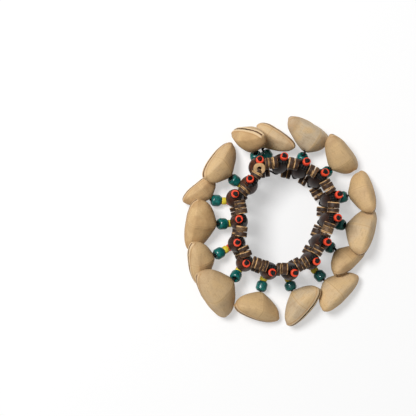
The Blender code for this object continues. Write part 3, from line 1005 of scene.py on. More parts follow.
LAYS = (
    Lay(0.4, 36, 0.0002, 0.0015, 0.86, 0.26, -68, -12, 25, 0.0005, 0.29, 0.20, blunt=0.10, spare=0.0007),
    Lay(1.0, 3, 0.0002, 0.0004, 1.00, -0.27, -10, 27, -8, 0.0004, 0.00, 0.15,
        blunt=0.10, snug=0.0002, spare=0.0004),
    Lay(3.4, -8, 0.0002, 0.0002, 0.95, -0.18, 2, 29, -6, 0.0006, 0.50, 0.10),
    Lay(1.2, -4, 0.0012, 0.0002, 0.90, 0.06, -2, -25, 8, 0.0005, 0.68, 0.15),
    Lay(1.6, -4, 0.0006, 0.0002, 1.00, 0.0, -12, -27, 4, 0.0006, 0.29, 0.20),
    Lay(-3.6, 18, 0.0006, 0.0002, 0.85, -0.10, -39, -29, 12, 0.0005, 0.68, 0.30, blunt=0.10, snug=0.0001),
    Lay(-2.4, 10, 0.0030, 0.0002, 0.97, -0.10, 0, -10, 5, 0.0005, 0.32, 0.25, blunt=0.06),
    Lay(-2.7, 8, 0.0002, 0.0002, 0.95, 0.10, 34, 14, 35, 0.0013, 0.13, 0.20, blunt=0.06, snug=0.0),
    Lay(-0.1, -3, 0.0002, 0.0002, 0.98, 0.0, -4, -24, 20, 0.0006, 0.58, 0.35, blunt=0.08),
    Lay(-1.6, 7, 0.0010, 0.0002, 1.19, 0.0, -28, -33, 8, 0.0006, 0.42, 0.65, blunt=0.08),
    Lay(1.7, -3, 0.0024, 0.0002, 0.93, -0.10, -22, -30, 18, 0.0009, 0.55, 0.45),
    Lay(1.1, -5, 0.0010, 0.0002, 1.06, -0.14, -13, -22, 8, 0.0004, 1.00, 0.60),
    Lay(-3.5, 18, 0.0008, 0.0004, 0.75, -0.20, -48, 0, 15, 0.0005, 0.71, 0.75),
    Lay(-2.7, 11, 0.0006, 0.0002, 0.97, 0.10, -3, 28, 20, 0.0005, 0.47, 0.95),
    # Pod 15's dark tone is partly painted shade, for the shaded face that it shows.
    Lay(0.9, -24, 0.0002, 0.0002, 0.93, 0.10, -12, -54, 46, 0.0010, 0.95, 0.85, split=0.42, snug=0.0002),
)


@dataclass(frozen=True)
class Sizes:
    """The bracelet's shared sizes."""

    first_bearing: float = 90.0
    barrel_length: float = 0.0210
    barrel_diameter: float = 0.0096
    barrel_end_diameter: float = 0.0050
    upper_lift: float = 0.0017
    lower_lift: float = 0.0029
    bore_diameter: float = 0.0024
    cord_diameter: float = 0.0012
    elastic_diameter: float = 0.0016
    elastic_inset: float = 0.0020
    red_length: float = 0.0029
    red_diameter: float = 0.0041
    yellow_length: float = 0.0031
    yellow_diameter: float = 0.0042
    green_length: float = 0.0049
    green_diameter: float = 0.0063
    disc_diameter: float = 0.0064
    disc_thickness: float = 0.0019
    seat_gap: float = 0.0003
    flank_gap: float = 0.0006
    pod_wall: float = 0.0013
    pod_play: float = 0.0018
    stopper_diameter: float = 0.0036
    steepest_drop: float = 0.80

    def beads_length(self) -> float:
        """The three beads of a pod's cord, one behind the other."""
        return self.red_length + self.yellow_length + self.green_length

    def barrel_radius(self, along: float) -> float:
        """The barrel's radius this far from its lower end."""
        bulge = (self.barrel_diameter - self.barrel_end_diameter) / 2
        return self.barrel_end_diameter / 2 + bulge * math.sin(math.pi * along / self.barrel_length)


SIZES = Sizes()


class Strand:
    """One station of the ring: its barrel, its cord and the place of its pod."""

    MOST_SLIP = 0.01

    def __init__(self, index: int, joints: dict[str, dict]) -> None:
        """Reads the strand's place from the frame's joints.

        Args:
            index: The strand's number, from 0 clockwise.
            joints: The frame's joints by name.
        """
        self.index = index
        self.label = f"{index + 1:02d}"
        self.lay = LAYS[index]
        spin = joints[f"barrel_spin_{self.label}"]
        sway = joints[f"pod_sway_{self.label}"]
        self.mouth = Vector(spin["pos_m"])
        self.axis = Vector(spin["axis"]).normalized()
        self.hole = Vector(sway["pos_m"])
        self.out = Vector((self.mouth.x, self.mouth.y, 0.0)).normalized()
        bearing = SIZES.first_bearing - 360 * index / len(LAYS) + self.lay.around
        heading = math.radians(bearing + self.lay.swing)
        self.away = Vector((math.cos(heading), math.sin(heading), 0.0))
        turn = Matrix.Rotation(heading + math.radians(90 + self.lay.turn), 3, "Z")
        tilt = Matrix.Rotation(math.radians(-self.lay.tilt), 3, "Y")
        roll = Matrix.Rotation(math.radians(-self.lay.roll), 3, "X")
        self.turn = turn @ tilt @ roll
        self.inward = self.turn @ Vector((0.0, -1.0, 0.0))
        slip = (self.turn @ UP).angle(Vector(sway["axis"]))
        if slip > self.MOST_SLIP:
            log.warning("pod %s lies %.1f degrees off its joint", self.label, math.degrees(slip))

    def at(self, along: float, inset: float = 0.0) -> Vector:
        """The point this far up the barrel's axis from its mouth, moved in by inset."""
        return self.mouth + along * self.axis - inset * self.out

    def end(self) -> Vector:
        """Where the cord turns into the pod's hole."""
        return self.hole - (SIZES.cord_diameter / 2 + SIZES.seat_gap) * self.inward

    def rise(self) -> float:
        """How far the cord rises from its elbow to its end."""
        return self.end().z - SIZES.red_diameter / 2 - SIZES.seat_gap / 3

    def cord_length(self) -> float:
        """The cord from its elbow to its end, longer where its pod lies high."""
        laid = self.lay.slack + SIZES.beads_length() + self.lay.bare
        return max(laid, self.rise() / SIZES.steepest_drop)

    def elbow(self) -> Vector:
        """Where the cord turns out from under the barrel to its beads."""
        reach = math.sqrt(self.cord_length()**2 - self.rise()**2)
        return self.end() - reach * self.away - self.rise() * UP

    def course(self) -> Vector:
        """The way along the cord from its elbow to its end."""
        return (self.end() - self.elbow()).normalized()

    def first_bead(self) -> Vector:
        """Where the beads start on the cord."""
        return self.elbow() + (self.cord_length() - SIZES.beads_length() - self.lay.bare) * self.course()

    def corner(self) -> Vector:
        """Where the cord turns to its beads.

        Returns:
            The point straight under the mouth, or the one just off the ground where that comes first.
        """
        start, course = self.first_bead(), self.course()
        under = (start - self.mouth).dot(self.away) / course.dot(self.away)
        return start - min(under, (start.z - SIZES.cord_diameter) / course.z) * course

    def clears(self, point: Vector, gap: float) -> bool:
        """Whether a point is clear of the barrel and of the beads on its cord.

        Args:
            point: The point.
            gap: The least distance that counts as clear.

        Returns:
            True where it is clear of both.
        """
        course = self.course()
        from_first = course.dot(point - self.first_bead())
        if -SIZES.red_length < from_first < SIZES.beads_length():
            small = from_first < SIZES.red_length + SIZES.yellow_length
            diameter = SIZES.yellow_diameter if small else SIZES.green_diameter
            if (point - self.first_bead() - from_first * course).length < diameter / 2 + gap:
                return False
        along = self.axis.dot(point - self.mouth)
        if not -SIZES.seat_gap < along < SIZES.barrel_length + SIZES.seat_gap:
            return True
        inside = min(max(along, 0.0), SIZES.barrel_length)
        return (point - self.at(along)).length > SIZES.barrel_radius(inside) + gap


# Sub-assemblies


@dataclass
class Barrel:
    """A barrel bead of dark wood, turned, with rounded ends and a bore."""

    strand: Strand
    sides: int = 48
    rings: int = 40
    round_over: float = 0.0005
    lip: float = 0.0001
    rim_inset: float = 0.0003
    spin: float = 0.7
    unevenness: float = 0.012
    lumps: float = 180.0
    grain_shift: float = 0.1

    def profile(self) -> list[tuple[float, float]]:
        """The turned outline, up the outside and down the bore.

        Returns:
            (height, radius) pairs.
        """
        length, bore, over = SIZES.barrel_length, SIZES.bore_diameter / 2, self.round_over
        outside = []
        for i in range(self.rings + 1):
            along = over + (length - 2 * over) * i / self.rings
            outside.append((along, SIZES.barrel_radius(along)))
        foot = [(over * (1 - math.sin(a)), SIZES.barrel_radius(over) - over * (1 - math.cos(a)))
                for a in (math.pi / 2, math.pi / 3, math.pi / 6)]
        top = [(length - h, r) for h, r in reversed(foot)]
        lip = [(length - self.lip, bore + over / 2), (length - over, bore)]
        drop = [(over, bore), (self.lip, bore + over / 2)]
        return foot + outside + top + lip + drop

    def build(self, finish: bpy.types.Material) -> bpy.types.Object:
        """Makes the barrel.

        Args:
            finish: The polished wood.

        Returns:
            The barrel's object.
        """
        strand, profile = self.strand, self.profile()
        turn = facing(strand.axis, self.spin * strand.index)
        points, grain, rim = [], [], []
        for height, radius in profile:
            for j in range(self.sides):
                angle = FULL_TURN * j / self.sides
                local = Vector((radius * math.cos(angle), radius * math.sin(angle), height))
                lump = noise.noise(local * self.lumps + Vector((strand.index, 0, 0)))
                wobble = 1 + self.unevenness * lump
                local.x *= wobble
                local.y *= wobble
                points.append(strand.mouth + turn @ local)
                grain.append(local + Vector((self.grain_shift * strand.index, 0.0, 0.0)))
                rim.append(1.0 if radius < SIZES.barrel_end_diameter / 2 - self.rim_inset else 0.0)
        faces = grid_faces(len(profile), self.sides, closed_rows=True)
        mesh = mesh_of(f"wooden_barrel_{strand.label}", np.array(points), faces)
        give(mesh, "grain", np.array(grain))
        give(mesh, "rim", np.array(rim))
        give(mesh, "tone", np.full(len(points), strand.lay.barrel_tone))
        node = f"barrel_bead_{strand.label}"
        return piece(mesh, finish, node, [node])


@dataclass
class SeedPod:
    """A hollow seed pod: two lobes that meet at a ridge, a hole in the crown and a seam along the keel."""

    strand: Strand
    length: float = 0.0290
    crown: float = 0.0118
    keel: float = 0.0046
    thickness: float = 0.0152
    crown_taper: float = 0.46
    flank_taper: float = 0.50
    flank_swell: float = 0.12
    keel_flatness: float = 2.5
    keel_edge: float = 1.25
    tip_share: float = 0.985
    crease: float = 0.07
    hole_radius: float = 0.0013
    hole_share: float = 0.95
    skin: float = 0.00050
    least_seam: float = 0.00008
    least_flank: float = 0.0004
    widest_opening: float = 0.6
    lip: float = 0.00030
    lip_place: float = 0.0013
    lip_width: float = 0.0008
    swell: float = 0.00026
    swell_scale: float = 170.0
    pits: float = 0.00006
    pit_scale: float = 620.0
    growth_shift: tuple[float, float] = (3.7, 1.3)
    growth_lean: float = 0.25
    outer_tip: float = 0.00035
    inner_tip: float = 0.0001
    off_seam: float = 0.01
    pattern_shift: float = 0.13
    half_rows: int = 34
    columns: int = 72

    def shares(self) -> list[float]:
        """The rows of one lobe, from the ridge to the tip, as shares of its length."""
        rows = self.half_rows
        return [self.tip_share * 0.5 * (1 - math.cos(math.pi * i / rows)) for i in range(rows + 1)]

    def rows(self) -> list[tuple[int, float]]:
        """The rows of the whole pod.

        Returns:
            (lobe, share) pairs from the - tip to the + tip.
        """
        shares = self.shares()
        return [(-1, share) for share in reversed(shares)] + [(1, share) for share in shares[1:]]

    def eased(self, share: float) -> float:
        """The share of a lobe that its taper has reached, which starts gently at the girdle."""
        return (math.hypot(share, self.crease) - self.crease) / (math.hypot(1.0, self.crease) - self.crease)

    def seam_half_width(self, share: float) -> float:
        """Half the width of the seam at this share of a lobe, which closes towards the tip."""
        opening = max(1 - (share / self.strand.lay.split) ** 2, 0.0)
        return max(self.strand.lay.gape / 2 * math.sqrt(opening), self.least_seam)

    def layer(self, inset: float) -> tuple[np.ndarray, np.ndarray]:
        """The points of the shell at a depth.

        Args:
            inset: The depth below the outer surface.

        Returns:
            The points in the pod's own frame, and each point's distance from the seam.
        """
        lay, half, edge = self.strand.lay, self.columns // 2, self.keel_edge
        points, seams = [], []
        for lobe, share in self.rows():
            reach = self.length * lay.size * (1 - lobe * lay.ridge) / 2 - inset
            eased = self.eased(share)
            blunt = 1 + lay.blunt * share**4
            crown = self.crown * lay.size - lay.spare - max(inset - self.skin, 0.0)
            crown *= (1 - eased) ** self.crown_taper * blunt
            keel = (self.keel * lay.size - inset) * (1 - share**self.keel_flatness) ** 0.5
            flank = (self.thickness / 2 * lay.size - lay.spare - inset) * (1 - eased) ** self.flank_taper
            flank *= 1 + self.flank_swell * share
            opening = (self.seam_half_width(share) / max(flank, self.least_flank)) ** (1 / edge)
            opening = min(opening, self.widest_opening)
            for j in range(self.columns):
                if j < half:
                    angle = (math.pi - opening) * j / (half - 1)
                else:
                    angle = math.pi + opening + (math.pi - opening) * (j - half) / half
                rise, across = math.cos(angle), math.sin(angle)
                if rise > 0:
                    up, out = crown * rise, flank * across
                else:
                    up, out = -keel * (-rise) ** edge, flank * math.copysign(abs(across) ** edge, across)
                points.append((lobe * share * reach, up, out))
                seams.append(math.hypot(up + keel, out))
        return np.array(points), np.array(seams)

    def shaped(self, points: np.ndarray, seams: np.ndarray) -> np.ndarray:
        """The outer surface with its uneven growth and the raised lips of its seam.

        Args:
            points: The outer points, about the pod's long axis.
            seams: Each point's distance from the seam.

        Returns:
            The moved points.
        """
        shift = Vector((self.growth_shift[0] * self.strand.index, self.growth_shift[1], 0.0))
        made = points.copy()
        for i, point in enumerate(points):
            spot = Vector(point)
            outward = Vector((self.growth_lean * spot.x, spot.y, spot.z)).normalized()
            swell = self.swell * noise.noise(spot * self.swell_scale + shift)
            pits = self.pits * noise.noise(spot * self.pit_scale + shift)
            lip = self.lip * math.exp(-(((seams[i] - self.lip_place) / self.lip_width) ** 2))
            made[i] = spot + (swell + pits + lip) * outward
        return made

    def build(self, finish: bpy.types.Material) -> bpy.types.Object:
        """Makes the pod as one closed shell.

        Args:
            finish: The woody shell.

        Returns:
            The pod's object.
        """
        columns, rows = self.columns, self.rows()
        outer, seams = self.layer(self.skin)
        outer = self.shaped(outer, seams)
        inner, _ = self.layer(SIZES.pod_wall)
        missing, rim = self._openings(outer, rows)
        for layer in (outer, inner):
            for i in rim:
                spoke = np.array([layer[i, 0], layer[i, 2]])
                layer[i, [0, 2]] = spoke * (self.hole_radius / np.linalg.norm(spoke))
        count = len(outer)
        skin = [f for k, f in enumerate(grid_faces(len(rows), columns)) if k not in missing]
        edges = {(f[k], f[(k + 1) % 4]) for f in skin for k in range(4)}
        tip_rows = {0, len(rows) - 1}
        walls = [(b, a, a + count, b + count) for a, b in edges
                 if (b, a) not in edges and not (a // columns == b // columns and a // columns in tip_rows)]
        faces = skin + [tuple(v + count for v in reversed(f)) for f in skin] + sorted(walls)
        points = np.concatenate([outer, inner])
        tips = []
        for base, tip in ((0, self.outer_tip), (count, self.inner_tip)):
            for start, side in ((0, -1), (count - columns, 1)):
                ring = [base + start + j for j in range(columns)]
                middle = points[ring].mean(0)
                middle[0] += tip * side
                hub = 2 * count + len(tips)
                tips.append(middle)
                forward = (side < 0) != (base > 0)
                for j in range(columns):
                    a, b = ring[j], ring[(j + 1) % columns]
                    faces.append((b, a, hub) if forward else (a, b, hub))
        points = np.concatenate([points, np.array(tips)])
        return self._finish(points, faces, seams, finish)

    def _openings(self, outer: np.ndarray, rows: Sequence[tuple[int, float]]) -> tuple[set[int], list[int]]:
        """Finds the faces that the seam and the hole leave out.

        Args:
            outer: The outer points.
            rows: The pod's rows.

        Returns:
            The numbers of the faces left out, and the points round the hole.
        """
        columns, half = self.columns, self.columns // 2
        missing = set()
        for i in range(len(rows) - 1):
            if max(rows[i][1], rows[i + 1][1]) < self.strand.lay.split:
                missing.add(i * columns + half - 1)
        middle, least = self.half_rows, self.hole_share * self.hole_radius
        reach = next(k for k in range(1, middle)
                     if min(abs(outer[(middle + s * k) * columns, 0]) for s in (-1, 1)) >= least)
        wide = next(j for j in range(1, half) if abs(outer[middle * columns + j, 2]) >= least)
        first, last = middle - reach, middle + reach
        for i in range(first, last):
            missing.update(i * columns + j % columns for j in range(-wide, wide))
        rim = [i * columns + j % columns for i in (first, last) for j in range(-wide, wide + 1)]
        rim += [i * columns + j % columns for i in range(first + 1, last) for j in (-wide, wide)]
        return missing, rim

    def _finish(self, points: np.ndarray, faces: Sequence[Sequence[int]], seams: np.ndarray,
                finish: bpy.types.Material) -> bpy.types.Object:
        """Places the shell on its strand and stores what its material reads.

        Args:
            points: All points, about the long axis.
            faces: All faces.
            seams: Each outer point's distance from the seam.
            finish: The woody shell.

        Returns:
            The pod's object.
        """
        strand, lay = self.strand, self.strand.lay
        count = len(seams)
        local = points - np.array([0.0, self.crown * lay.size, 0.0])
        placed = local @ np.array(strand.turn).T + np.array(strand.hole)
        used = np.unique(np.concatenate([np.array(face) for face in faces]))
        renumber = np.full(len(points), -1)
        renumber[used] = np.arange(len(used))
        faces = [renumber[list(face)].tolist() for face in faces]
        mesh = mesh_of(f"seed_pod_{strand.label}", placed[used], faces)
        lining = np.zeros(len(points))
        lining[count:2 * count] = 1.0
        lining[2 * count + 2:] = 1.0
        distance = np.concatenate([seams, np.zeros(count), np.full(4, self.off_seam)])
        reach = self.length * lay.size / 2
        give(mesh, "shell", (points + np.array([self.pattern_shift * strand.index, 0.0, 0.0]))[used])
        give(mesh, "seam", distance[used])
        give(mesh, "tip", (np.abs(points[:, 0]) / reach)[used])
        give(mesh, "girdle", np.abs(points[:, 0])[used])
        give(mesh, "lining", lining[used])
        give(mesh, "tone", np.full(len(used), lay.tone))
        give(mesh, "gape", np.full(len(used), lay.gape))
        node = f"pod_{strand.label}"
        return piece(mesh, finish, node, [node])


@dataclass
class PodCord:
    """The cord below a barrel with its three beads and its knot inside the pod."""

    strand: Strand
    rings: RingTree
    in_barrel: float = 0.0030
    in_mouth: float = 0.0006
    in_hole: float = 0.0004
    knot_depth: float = 0.0012
    knot_ply: float = 0.8
    bead_bore: float = 0.00075
    bead_rounding: float = 0.66
    bead_length: float = 0.98
    bead_swell: Span = (0.97, 1.03)
    bead_squash: Span = (0.95, 1.0)
    bead_unevenness: float = 0.00020

    def beads(self) -> list[tuple[BeadKind, float, float]]:
        """The beads in their order.

        Returns:
            (kind, length, diameter) for each bead, from the barrel to the pod.
        """
        return [(BeadKind.RED, SIZES.red_length, SIZES.red_diameter),
                (BeadKind.YELLOW, SIZES.yellow_length, SIZES.yellow_diameter),
                (BeadKind.GREEN, SIZES.green_length + self.strand.lay.snug, SIZES.green_diameter)]

    def shape(self, length: float, diameter: float) -> RingShape:
        """The shape of one bead.

        Args:
            length: The bead's length on the cord.
            diameter: Its diameter.

        Returns:
            The shape of the ring.
        """
        rounding = self.bead_rounding * min(diameter / 2 - self.bead_bore, length / 2)
        return RingShape(diameter / 2, self.bead_bore, length * self.bead_length, rounding,
                         self.bead_unevenness, segments=40, corner_steps=8)

    def build(self, finishes: dict[BeadKind, bpy.types.Material], cord: bpy.types.Material) -> None:
        """Makes the cord and its beads.

        Args:
            finishes: The beads' materials.
            cord: The cord's material.
        """
        strand, body = self.strand, f"pod_cord_{self.strand.label}"
        first, end, course = strand.first_bead(), strand.end(), strand.course()
        inside = strand.hole + (SIZES.pod_wall + SIZES.pod_play + self.knot_depth) * strand.inward
        route = [strand.at(self.in_barrel), strand.at(self.in_mouth), strand.corner(), first,
                 first.lerp(end, 0.5), end, strand.hole + self.in_hole * strand.inward, inside]
        radius = SIZES.cord_diameter / 2
        ply = radius * self.knot_ply
        knot = knot_path(SIZES.stopper_diameter / 2 - ply, seated(inside, strand.inward))
        line = smooth_path(route, steps=8)
        strands = [tube("line", line, radius), tube("knot", knot, ply, sides=8, closed=True)]
        piece(joined(f"pod_line_{strand.label}", strands), cord, body, [body])
        chance = random.Random(SEED + strand.index)
        start = 0.0
        for kind, length, diameter in self.beads():
            swell = chance.uniform(*self.bead_swell)
            middle = first + (start + length / 2) * course
            seat = Threaded(middle, facing(course, chance.uniform(*ANY_SPIN)),
                            (swell, swell, chance.uniform(*self.bead_squash)), chance.uniform(0.0, 1.0))
            name, shape = f"{kind.value}_bead_{strand.label}", self.shape(length, diameter)
            piece(self.rings.thread(name, [seat], shape, finishes[kind]), None, body)
            start += length


@dataclass
class Band:
    """One elastic with its coconut discs, at one end of the ring."""

    strands: Sequence[Strand]
    where: BandEnd
    rings: RingTree
    elastic_radius: float = 0.0005
    lower_bulge: float = 0.0021
    step: float = 0.0001
    gap: float = 0.0001
    upper_tones: Span = (0.0, 1.0)
    # The lower band's discs take only dark tones: painted shade, as they lie in the ring's shade.
    lower_shaded_tones: Span = (0.30, 0.62)
    disc_shares: Span = (0.60, 1.45)
    disc_slack: float = 0.2
    disc_fill: float = 0.90
    disc_lean: float = 0.09
    disc_widths: Span = (0.95, 1.03)
    disc_roundness: Span = (0.97, 1.0)
    disc_rim_steps: int = 8
    disc_bore: float = 0.0009
    disc_rounding: float = 0.00036
    disc_unevenness: float = 0.00050
    slipped_bore: float = 0.0012
    slipped_lift: float = 0.0026
    slipped_inset: float = 0.0040
    slipped_aside: float = 0.0022
    slipped_lean: float = 0.35
    slipped_stretch: tuple[float, float, float] = (1.0, 0.97, 0.85)

    def along(self) -> float:
        """How far up the barrels' axes the elastic passes.

        Returns:
            The distance from the barrels' mouths, below 0 at the lower end.
        """
        if self.where is BandEnd.UPPER:
            return SIZES.barrel_length + SIZES.upper_lift
        return -SIZES.lower_lift / self.strands[0].axis.z

    def passes(self) -> list[Vector]:
        """Where the elastic passes each barrel."""
        return [strand.at(self.along(), SIZES.elastic_inset) for strand in self.strands]

    def room(self, strand: Strand, start: Vector, course: Vector) -> float:
        """How far from its pass of a barrel the first disc is clear of the barrel.

        Args:
            strand: The barrel's strand.
            start: The pass.
            course: The way along the elastic.

        Returns:
            The distance.
        """
        side = course.cross(strand.axis).normalized()
        up = side.cross(course)
        angles = [k * FULL_TURN / self.disc_rim_steps for k in range(self.disc_rim_steps)]
        rim = [SIZES.disc_diameter / 2 * (math.cos(a) * side + math.sin(a) * up) for a in angles]
        room = SIZES.red_diameter / 2 + self.gap
        while not all(strand.clears(start + room * course + spot, self.gap) for spot in rim):
            room += self.step
        return room

    def stretch_between(self, number: int) -> tuple[Vector, Vector, float, float]:
        """The discs' line from one barrel to the next.

        Args:
            number: The barrel that it leaves.

        Returns:
            Where it starts, its course, and how far along it the discs begin and end.
        """
        passes, after = self.passes(), (number + 1) % len(self.strands)
        here, there = self.strands[number], self.strands[after]
        bulge = 0.0 if self.where is BandEnd.UPPER else self.lower_bulge
        start, stop = passes[number] + bulge * here.out, passes[after] + bulge * there.out
        course = (stop - start).normalized()
        begin = self.room(here, start, course)
        return start, course, begin, (stop - start).length - self.room(there, stop, -course)

    def discs(self) -> list[Threaded]:
        """The discs of the row, each with its own thickness, tilt and tone; the lower band's dark tones are
        painted shade.

        Returns:
            Where each disc is threaded, round the ring.
        """
        chance = random.Random(SEED + len(self.where.value))
        # The upper band's tones are the discs' own colours; the lower band's dark tones are painted shade.
        tones_and_shade = self.upper_tones if self.where is BandEnd.UPPER else self.lower_shaded_tones
        made = []
        for number in range(len(self.strands)):
            start, course, begin, end = self.stretch_between(number)
            room = (end - begin - 2 * SIZES.flank_gap) / SIZES.disc_thickness
            shares = [chance.uniform(*self.disc_shares) for _ in range(max(round(room - self.disc_slack), 1))]
            position = begin
            for share in shares:
                thick = (end - begin) * share / sum(shares)
                turn = facing(course if chance.random() < 0.5 else -course, chance.uniform(*ANY_SPIN))
                lean = Matrix.Rotation(chance.uniform(-self.disc_lean, self.disc_lean), 3, "X")
                wide = chance.uniform(*self.disc_widths)
                middle = start + (position + thick / 2) * course
                thinned = self.disc_fill * thick / SIZES.disc_thickness
                stretch = (wide, wide * chance.uniform(*self.disc_roundness), thinned)
                made.append(Threaded(middle, turn @ lean, stretch, chance.uniform(*tones_and_shade)))
                position += thick
        return made

    def route(self) -> list[Vector]:
        """The elastic's course.

        Returns:
            Its points, past each cord and through the two ends of each stack of discs.
        """
        made = []
        for number, spot in enumerate(self.passes()):
            start, course, begin, end = self.stretch_between(number)
            made += [spot, start + begin * course, start + end * course]
        return made

    def face_up(self) -> Threaded:
        """The disc that has slipped over.

        Returns:
            Its place, with its face up beside the last barrel.
        """
        strand = self.strands[-1]
        clockwise = Vector((strand.out.y, -strand.out.x, 0.0))
        middle = strand.at(self.along() + self.slipped_lift, self.slipped_inset)
        middle -= self.slipped_aside * clockwise
        return Threaded(middle, facing(UP - self.slipped_lean * strand.out), self.slipped_stretch, 0.0)

    def shape(self, bore: float) -> RingShape:
        """The shape of a disc with a bore of this radius."""
        return RingShape(SIZES.disc_diameter / 2, bore, SIZES.disc_thickness, self.disc_rounding,
                         self.disc_unevenness, segments=36, corner_steps=3)

    def build(self, shell: bpy.types.Material, elastic: bpy.types.Material) -> None:
        """Makes the discs and the elastic.

        Args:
            shell: The discs' material.
            elastic: The elastic's material.
        """
        end = self.where.value
        mesh = self.rings.thread(f"coconut_discs_{end}", self.discs(), self.shape(self.disc_bore), shell)
        piece(mesh, None, "ring", [f"{end}_band"])
        if self.where is BandEnd.UPPER:
            slipped = self.shape(self.slipped_bore)
            mesh = self.rings.thread("coconut_disc_slipped", [self.face_up()], slipped, shell)
            piece(mesh, None, "ring")
        loop = smooth_path(self.route(), steps=6, closed=True)
        piece(tube(f"elastic_{end}", loop, self.elastic_radius, closed=True), elastic, "ring")


@dataclass
class Ties:
    """What stands above the barrels: the cords' ends, their bindings, the red beads and the end knots."""

    strands: Sequence[Strand]
    rings: RingTree
    lashing_reach: float = 0.0016
    lashing_width: float = 0.0040
    lashing_inset: float = 0.0025
    lashing_taper: float = 0.0004
    lashing_drift: float = 0.0002
    lashing_slack: Span = (0.93, 1.0)
    lashing_overlap: float = 1.15
    turns: int = 6
    turn_steps: int = 16
    line_start: float = 0.0035
    line_steps: int = 12
    knot_sizes: Span = (0.00085, 0.00105)
    knot_slips: Span = (0.0002, 0.0007)
    knot_lift: float = 0.0001
    knot_lean: float = 0.4
    knot_ply: float = 0.80
    tail_rise: float = 0.0008
    tail_top: float = 0.0012
    tail_reach: float = 0.0009
    bead_lean: float = 0.10
    bead_squash: Span = (0.9, 1.0)
    bead_bore: float = 0.00085
    bead_rounding: float = 0.00056
    bead_unevenness: float = 0.00020

    def seat(self) -> float:
        """How far up a barrel's axis its red bead sits."""
        return SIZES.barrel_length + SIZES.upper_lift + SIZES.elastic_diameter / 2

    def lashing(self, strand: Strand, chance: random.Random) -> bpy.types.Mesh:
        """The uneven turns of cord that lash one strand to the elastic, on the inner side of its red bead.

        Args:
            strand: The strand.
            chance: The source of the unevenness.

        Returns:
            The mesh of the turns.
        """
        radius = self.lashing_width / (2 * self.turns)
        middle = strand.at(SIZES.barrel_length + SIZES.upper_lift, self.lashing_inset)
        course = Vector((-strand.out.y, strand.out.x, 0.0))
        up = strand.out.cross(course)
        path, steps = [], self.turn_steps * self.turns
        for i in range(steps + 1):
            angle = FULL_TURN * i / self.turn_steps
            reach = self.lashing_reach - radius - self.lashing_taper * abs(2 * i / steps - 1) ** 3
            reach *= chance.uniform(*self.lashing_slack)
            drift = self.lashing_width * (i / steps - 0.5)
            drift += self.lashing_drift * math.sin(0.5 * angle + strand.index)
            spoke = math.cos(angle) * strand.out + math.sin(angle) * up
            path.append(middle + drift * course + reach * spoke)
        return tube("turns", path, radius * self.lashing_overlap, sides=8)

    def build(self, red: bpy.types.Material, cord: bpy.types.Material) -> None:
        """Makes the ties of all the strands.

        Args:
            red: The red beads' material.
            cord: The cord's material.
        """
        chance = random.Random(SEED)
        lines, knots, turns, seats = [], [], [], []
        radius = SIZES.cord_diameter / 2
        ply, crown = radius * self.knot_ply, self.seat() + SIZES.red_length
        for strand in self.strands:
            path = [strand.at(self.line_start + (crown - self.line_start) * i / self.line_steps)
                    for i in range(self.line_steps + 1)]
            lines.append(tube("line", path, radius))
            slip = chance.uniform(0.0, FULL_TURN)
            aside = facing(strand.axis) @ Vector((math.cos(slip), math.sin(slip), 0.0))
            middle = strand.at(crown + self.knot_lift) + chance.uniform(*self.knot_slips) * aside
            place = seated(middle, strand.axis + self.knot_lean * aside, strand.index)
            knot = knot_path(chance.uniform(*self.knot_sizes), place)
            knots.append(tube("knot", knot, ply, sides=10, closed=True))
            tail = [strand.at(crown), middle + self.tail_rise * strand.axis,
                    middle + self.tail_top * strand.axis + self.tail_reach * aside]
            knots.append(tube("tail", smooth_path(tail, steps=4), ply, sides=10))
            turns.append(self.lashing(strand, chance))
            lean = Matrix.Rotation(chance.uniform(-self.bead_lean, self.bead_lean), 3, "X")
            seat = strand.at(self.seat() + SIZES.red_length / 2)
            seats.append(Threaded(seat, facing(strand.axis, strand.index) @ lean,
                                  (1.0, 1.0, chance.uniform(*self.bead_squash)), chance.random()))
        for name, tubes in (("barrel_cords", lines), ("end_knots", knots), ("bindings", turns)):
            piece(joined(name, tubes), cord, "ring")
        shape = RingShape(SIZES.red_diameter / 2, self.bead_bore, SIZES.red_length, self.bead_rounding,
                          self.bead_unevenness, segments=40, corner_steps=8)
        piece(self.rings.thread("red_beads_upper", seats, shape, red), None, "ring")


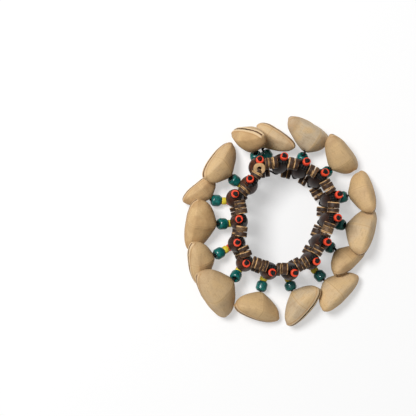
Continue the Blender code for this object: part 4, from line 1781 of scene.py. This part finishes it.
@dataclass
class Studio:
    """The pale floor, the soft light and the camera straight above."""

    eye: tuple[float, float, float] = (-0.0378, 0.0057, 0.700)
    picture_width: float = 0.2288
    sensor_width: float = 36.0
    clip: Span = (0.01, 20.0)
    floor_half: float = 4.0
    floor_drop: float = 0.00005
    floor_white: Colour = (0.97, 0.97, 0.97)
    floor_roughness: float = 0.9
    floor_glow: float = 0.46
    sky_level: float = 0.26
    key_level: float = 0.79
    key_bearing: float = 143.0
    key_height: float = 62.0
    key_distance: float = 1.60
    key_size: float = 0.60

    def floor(self) -> None:
        """Lays the floor under the pods, whiter to the eye than to the light."""
        half, level = self.floor_half, -self.floor_drop
        corners = [(x * half, y * half, level) for x, y in ((-1, -1), (1, -1), (1, 1), (-1, 1))]
        obj = bpy.data.objects.new("floor", mesh_of("floor", np.array(corners), [(0, 1, 2, 3)]))
        graph = Graph("pale_floor")
        graph.set(Base_Color=self.floor_white, Roughness=self.floor_roughness, Specular_IOR_Level=0.0)
        seen = graph.ray("Is Camera Ray") + graph.ray("Is Glossy Ray") + graph.ray("Is Transmission Ray")
        white = graph.node("ShaderNodeEmission", None, {"Color": (1.0, 1.0, 1.0), "Strength": 1.0})
        lit = Wire(graph, graph.shader.outputs[0])
        graph.show(graph.node("ShaderNodeMixShader", None, {0: seen * self.floor_glow, 1: lit, 2: white}))
        obj.data.materials.append(graph.material)
        bpy.context.scene.collection.objects.link(obj)

    def light(self) -> None:
        """Sets the soft sky and the key light, high at the upper left."""
        world = bpy.data.worlds.new("soft_sky")
        world.use_nodes = True
        sky = world.node_tree.nodes["Background"].inputs
        sky["Color"].default_value = (1.0, 1.0, 1.0, 1.0)
        sky["Strength"].default_value = self.sky_level
        bpy.context.scene.world = world
        bearing, height = math.radians(self.key_bearing), math.radians(self.key_height)
        flat = math.cos(height)
        course = Vector((math.cos(bearing) * flat, math.sin(bearing) * flat, math.sin(height)))
        lamp = bpy.data.lights.new("key", "AREA")
        lamp.shape = "DISK"
        lamp.size = self.key_size
        lamp.energy = self.key_level * (math.pi * self.key_distance) ** 2 / math.sin(height)
        key = bpy.data.objects.new("key", lamp)
        key.location = self.key_distance * course
        key.rotation_euler = (-course).to_track_quat("-Z", "Y").to_euler()
        bpy.context.scene.collection.objects.link(key)

    def camera(self) -> None:
        """Puts the camera above, with the picture's frame."""
        data = bpy.data.cameras.new("camera")
        data.sensor_width = self.sensor_width
        data.lens = data.sensor_width * self.eye[2] / self.picture_width
        data.clip_start, data.clip_end = self.clip
        camera = bpy.data.objects.new("camera", data)
        camera.location = self.eye
        bpy.context.scene.collection.objects.link(camera)
        bpy.context.scene.camera = camera

    def build(self) -> None:
        """Builds the whole studio."""
        bpy.context.scene.view_settings.view_transform = "Standard"
        self.floor()
        self.light()
        self.camera()


def main() -> None:
    """Builds the bracelet's pieces in order and reports them."""
    logging.basicConfig(level=logging.INFO, format="%(name)s: %(message)s")
    joints = {joint["name"]: joint for joint in frame["joints"]}
    strands = [Strand(index, joints) for index in range(len(LAYS))]
    Studio().build()
    rings = RingTree()
    beads = {kind: finish.material() for kind, finish in BEAD_FINISHES.items()}
    cord, elastic = CORD_FINISH.material(), ELASTIC_FINISH.material()
    wood, shell = BarrelFinish().material(), PodFinish().material()
    coconut = CoconutFinish().material()
    for where in BandEnd:
        Band(strands, where, rings).build(coconut, elastic)
    Ties(strands, rings).build(beads[BeadKind.RED], cord)
    for strand in strands:
        Barrel(strand).build(wood)
        PodCord(strand, rings).build(beads, cord)
        SeedPod(strand).build(shell)


if __name__ == "__main__":
    main()
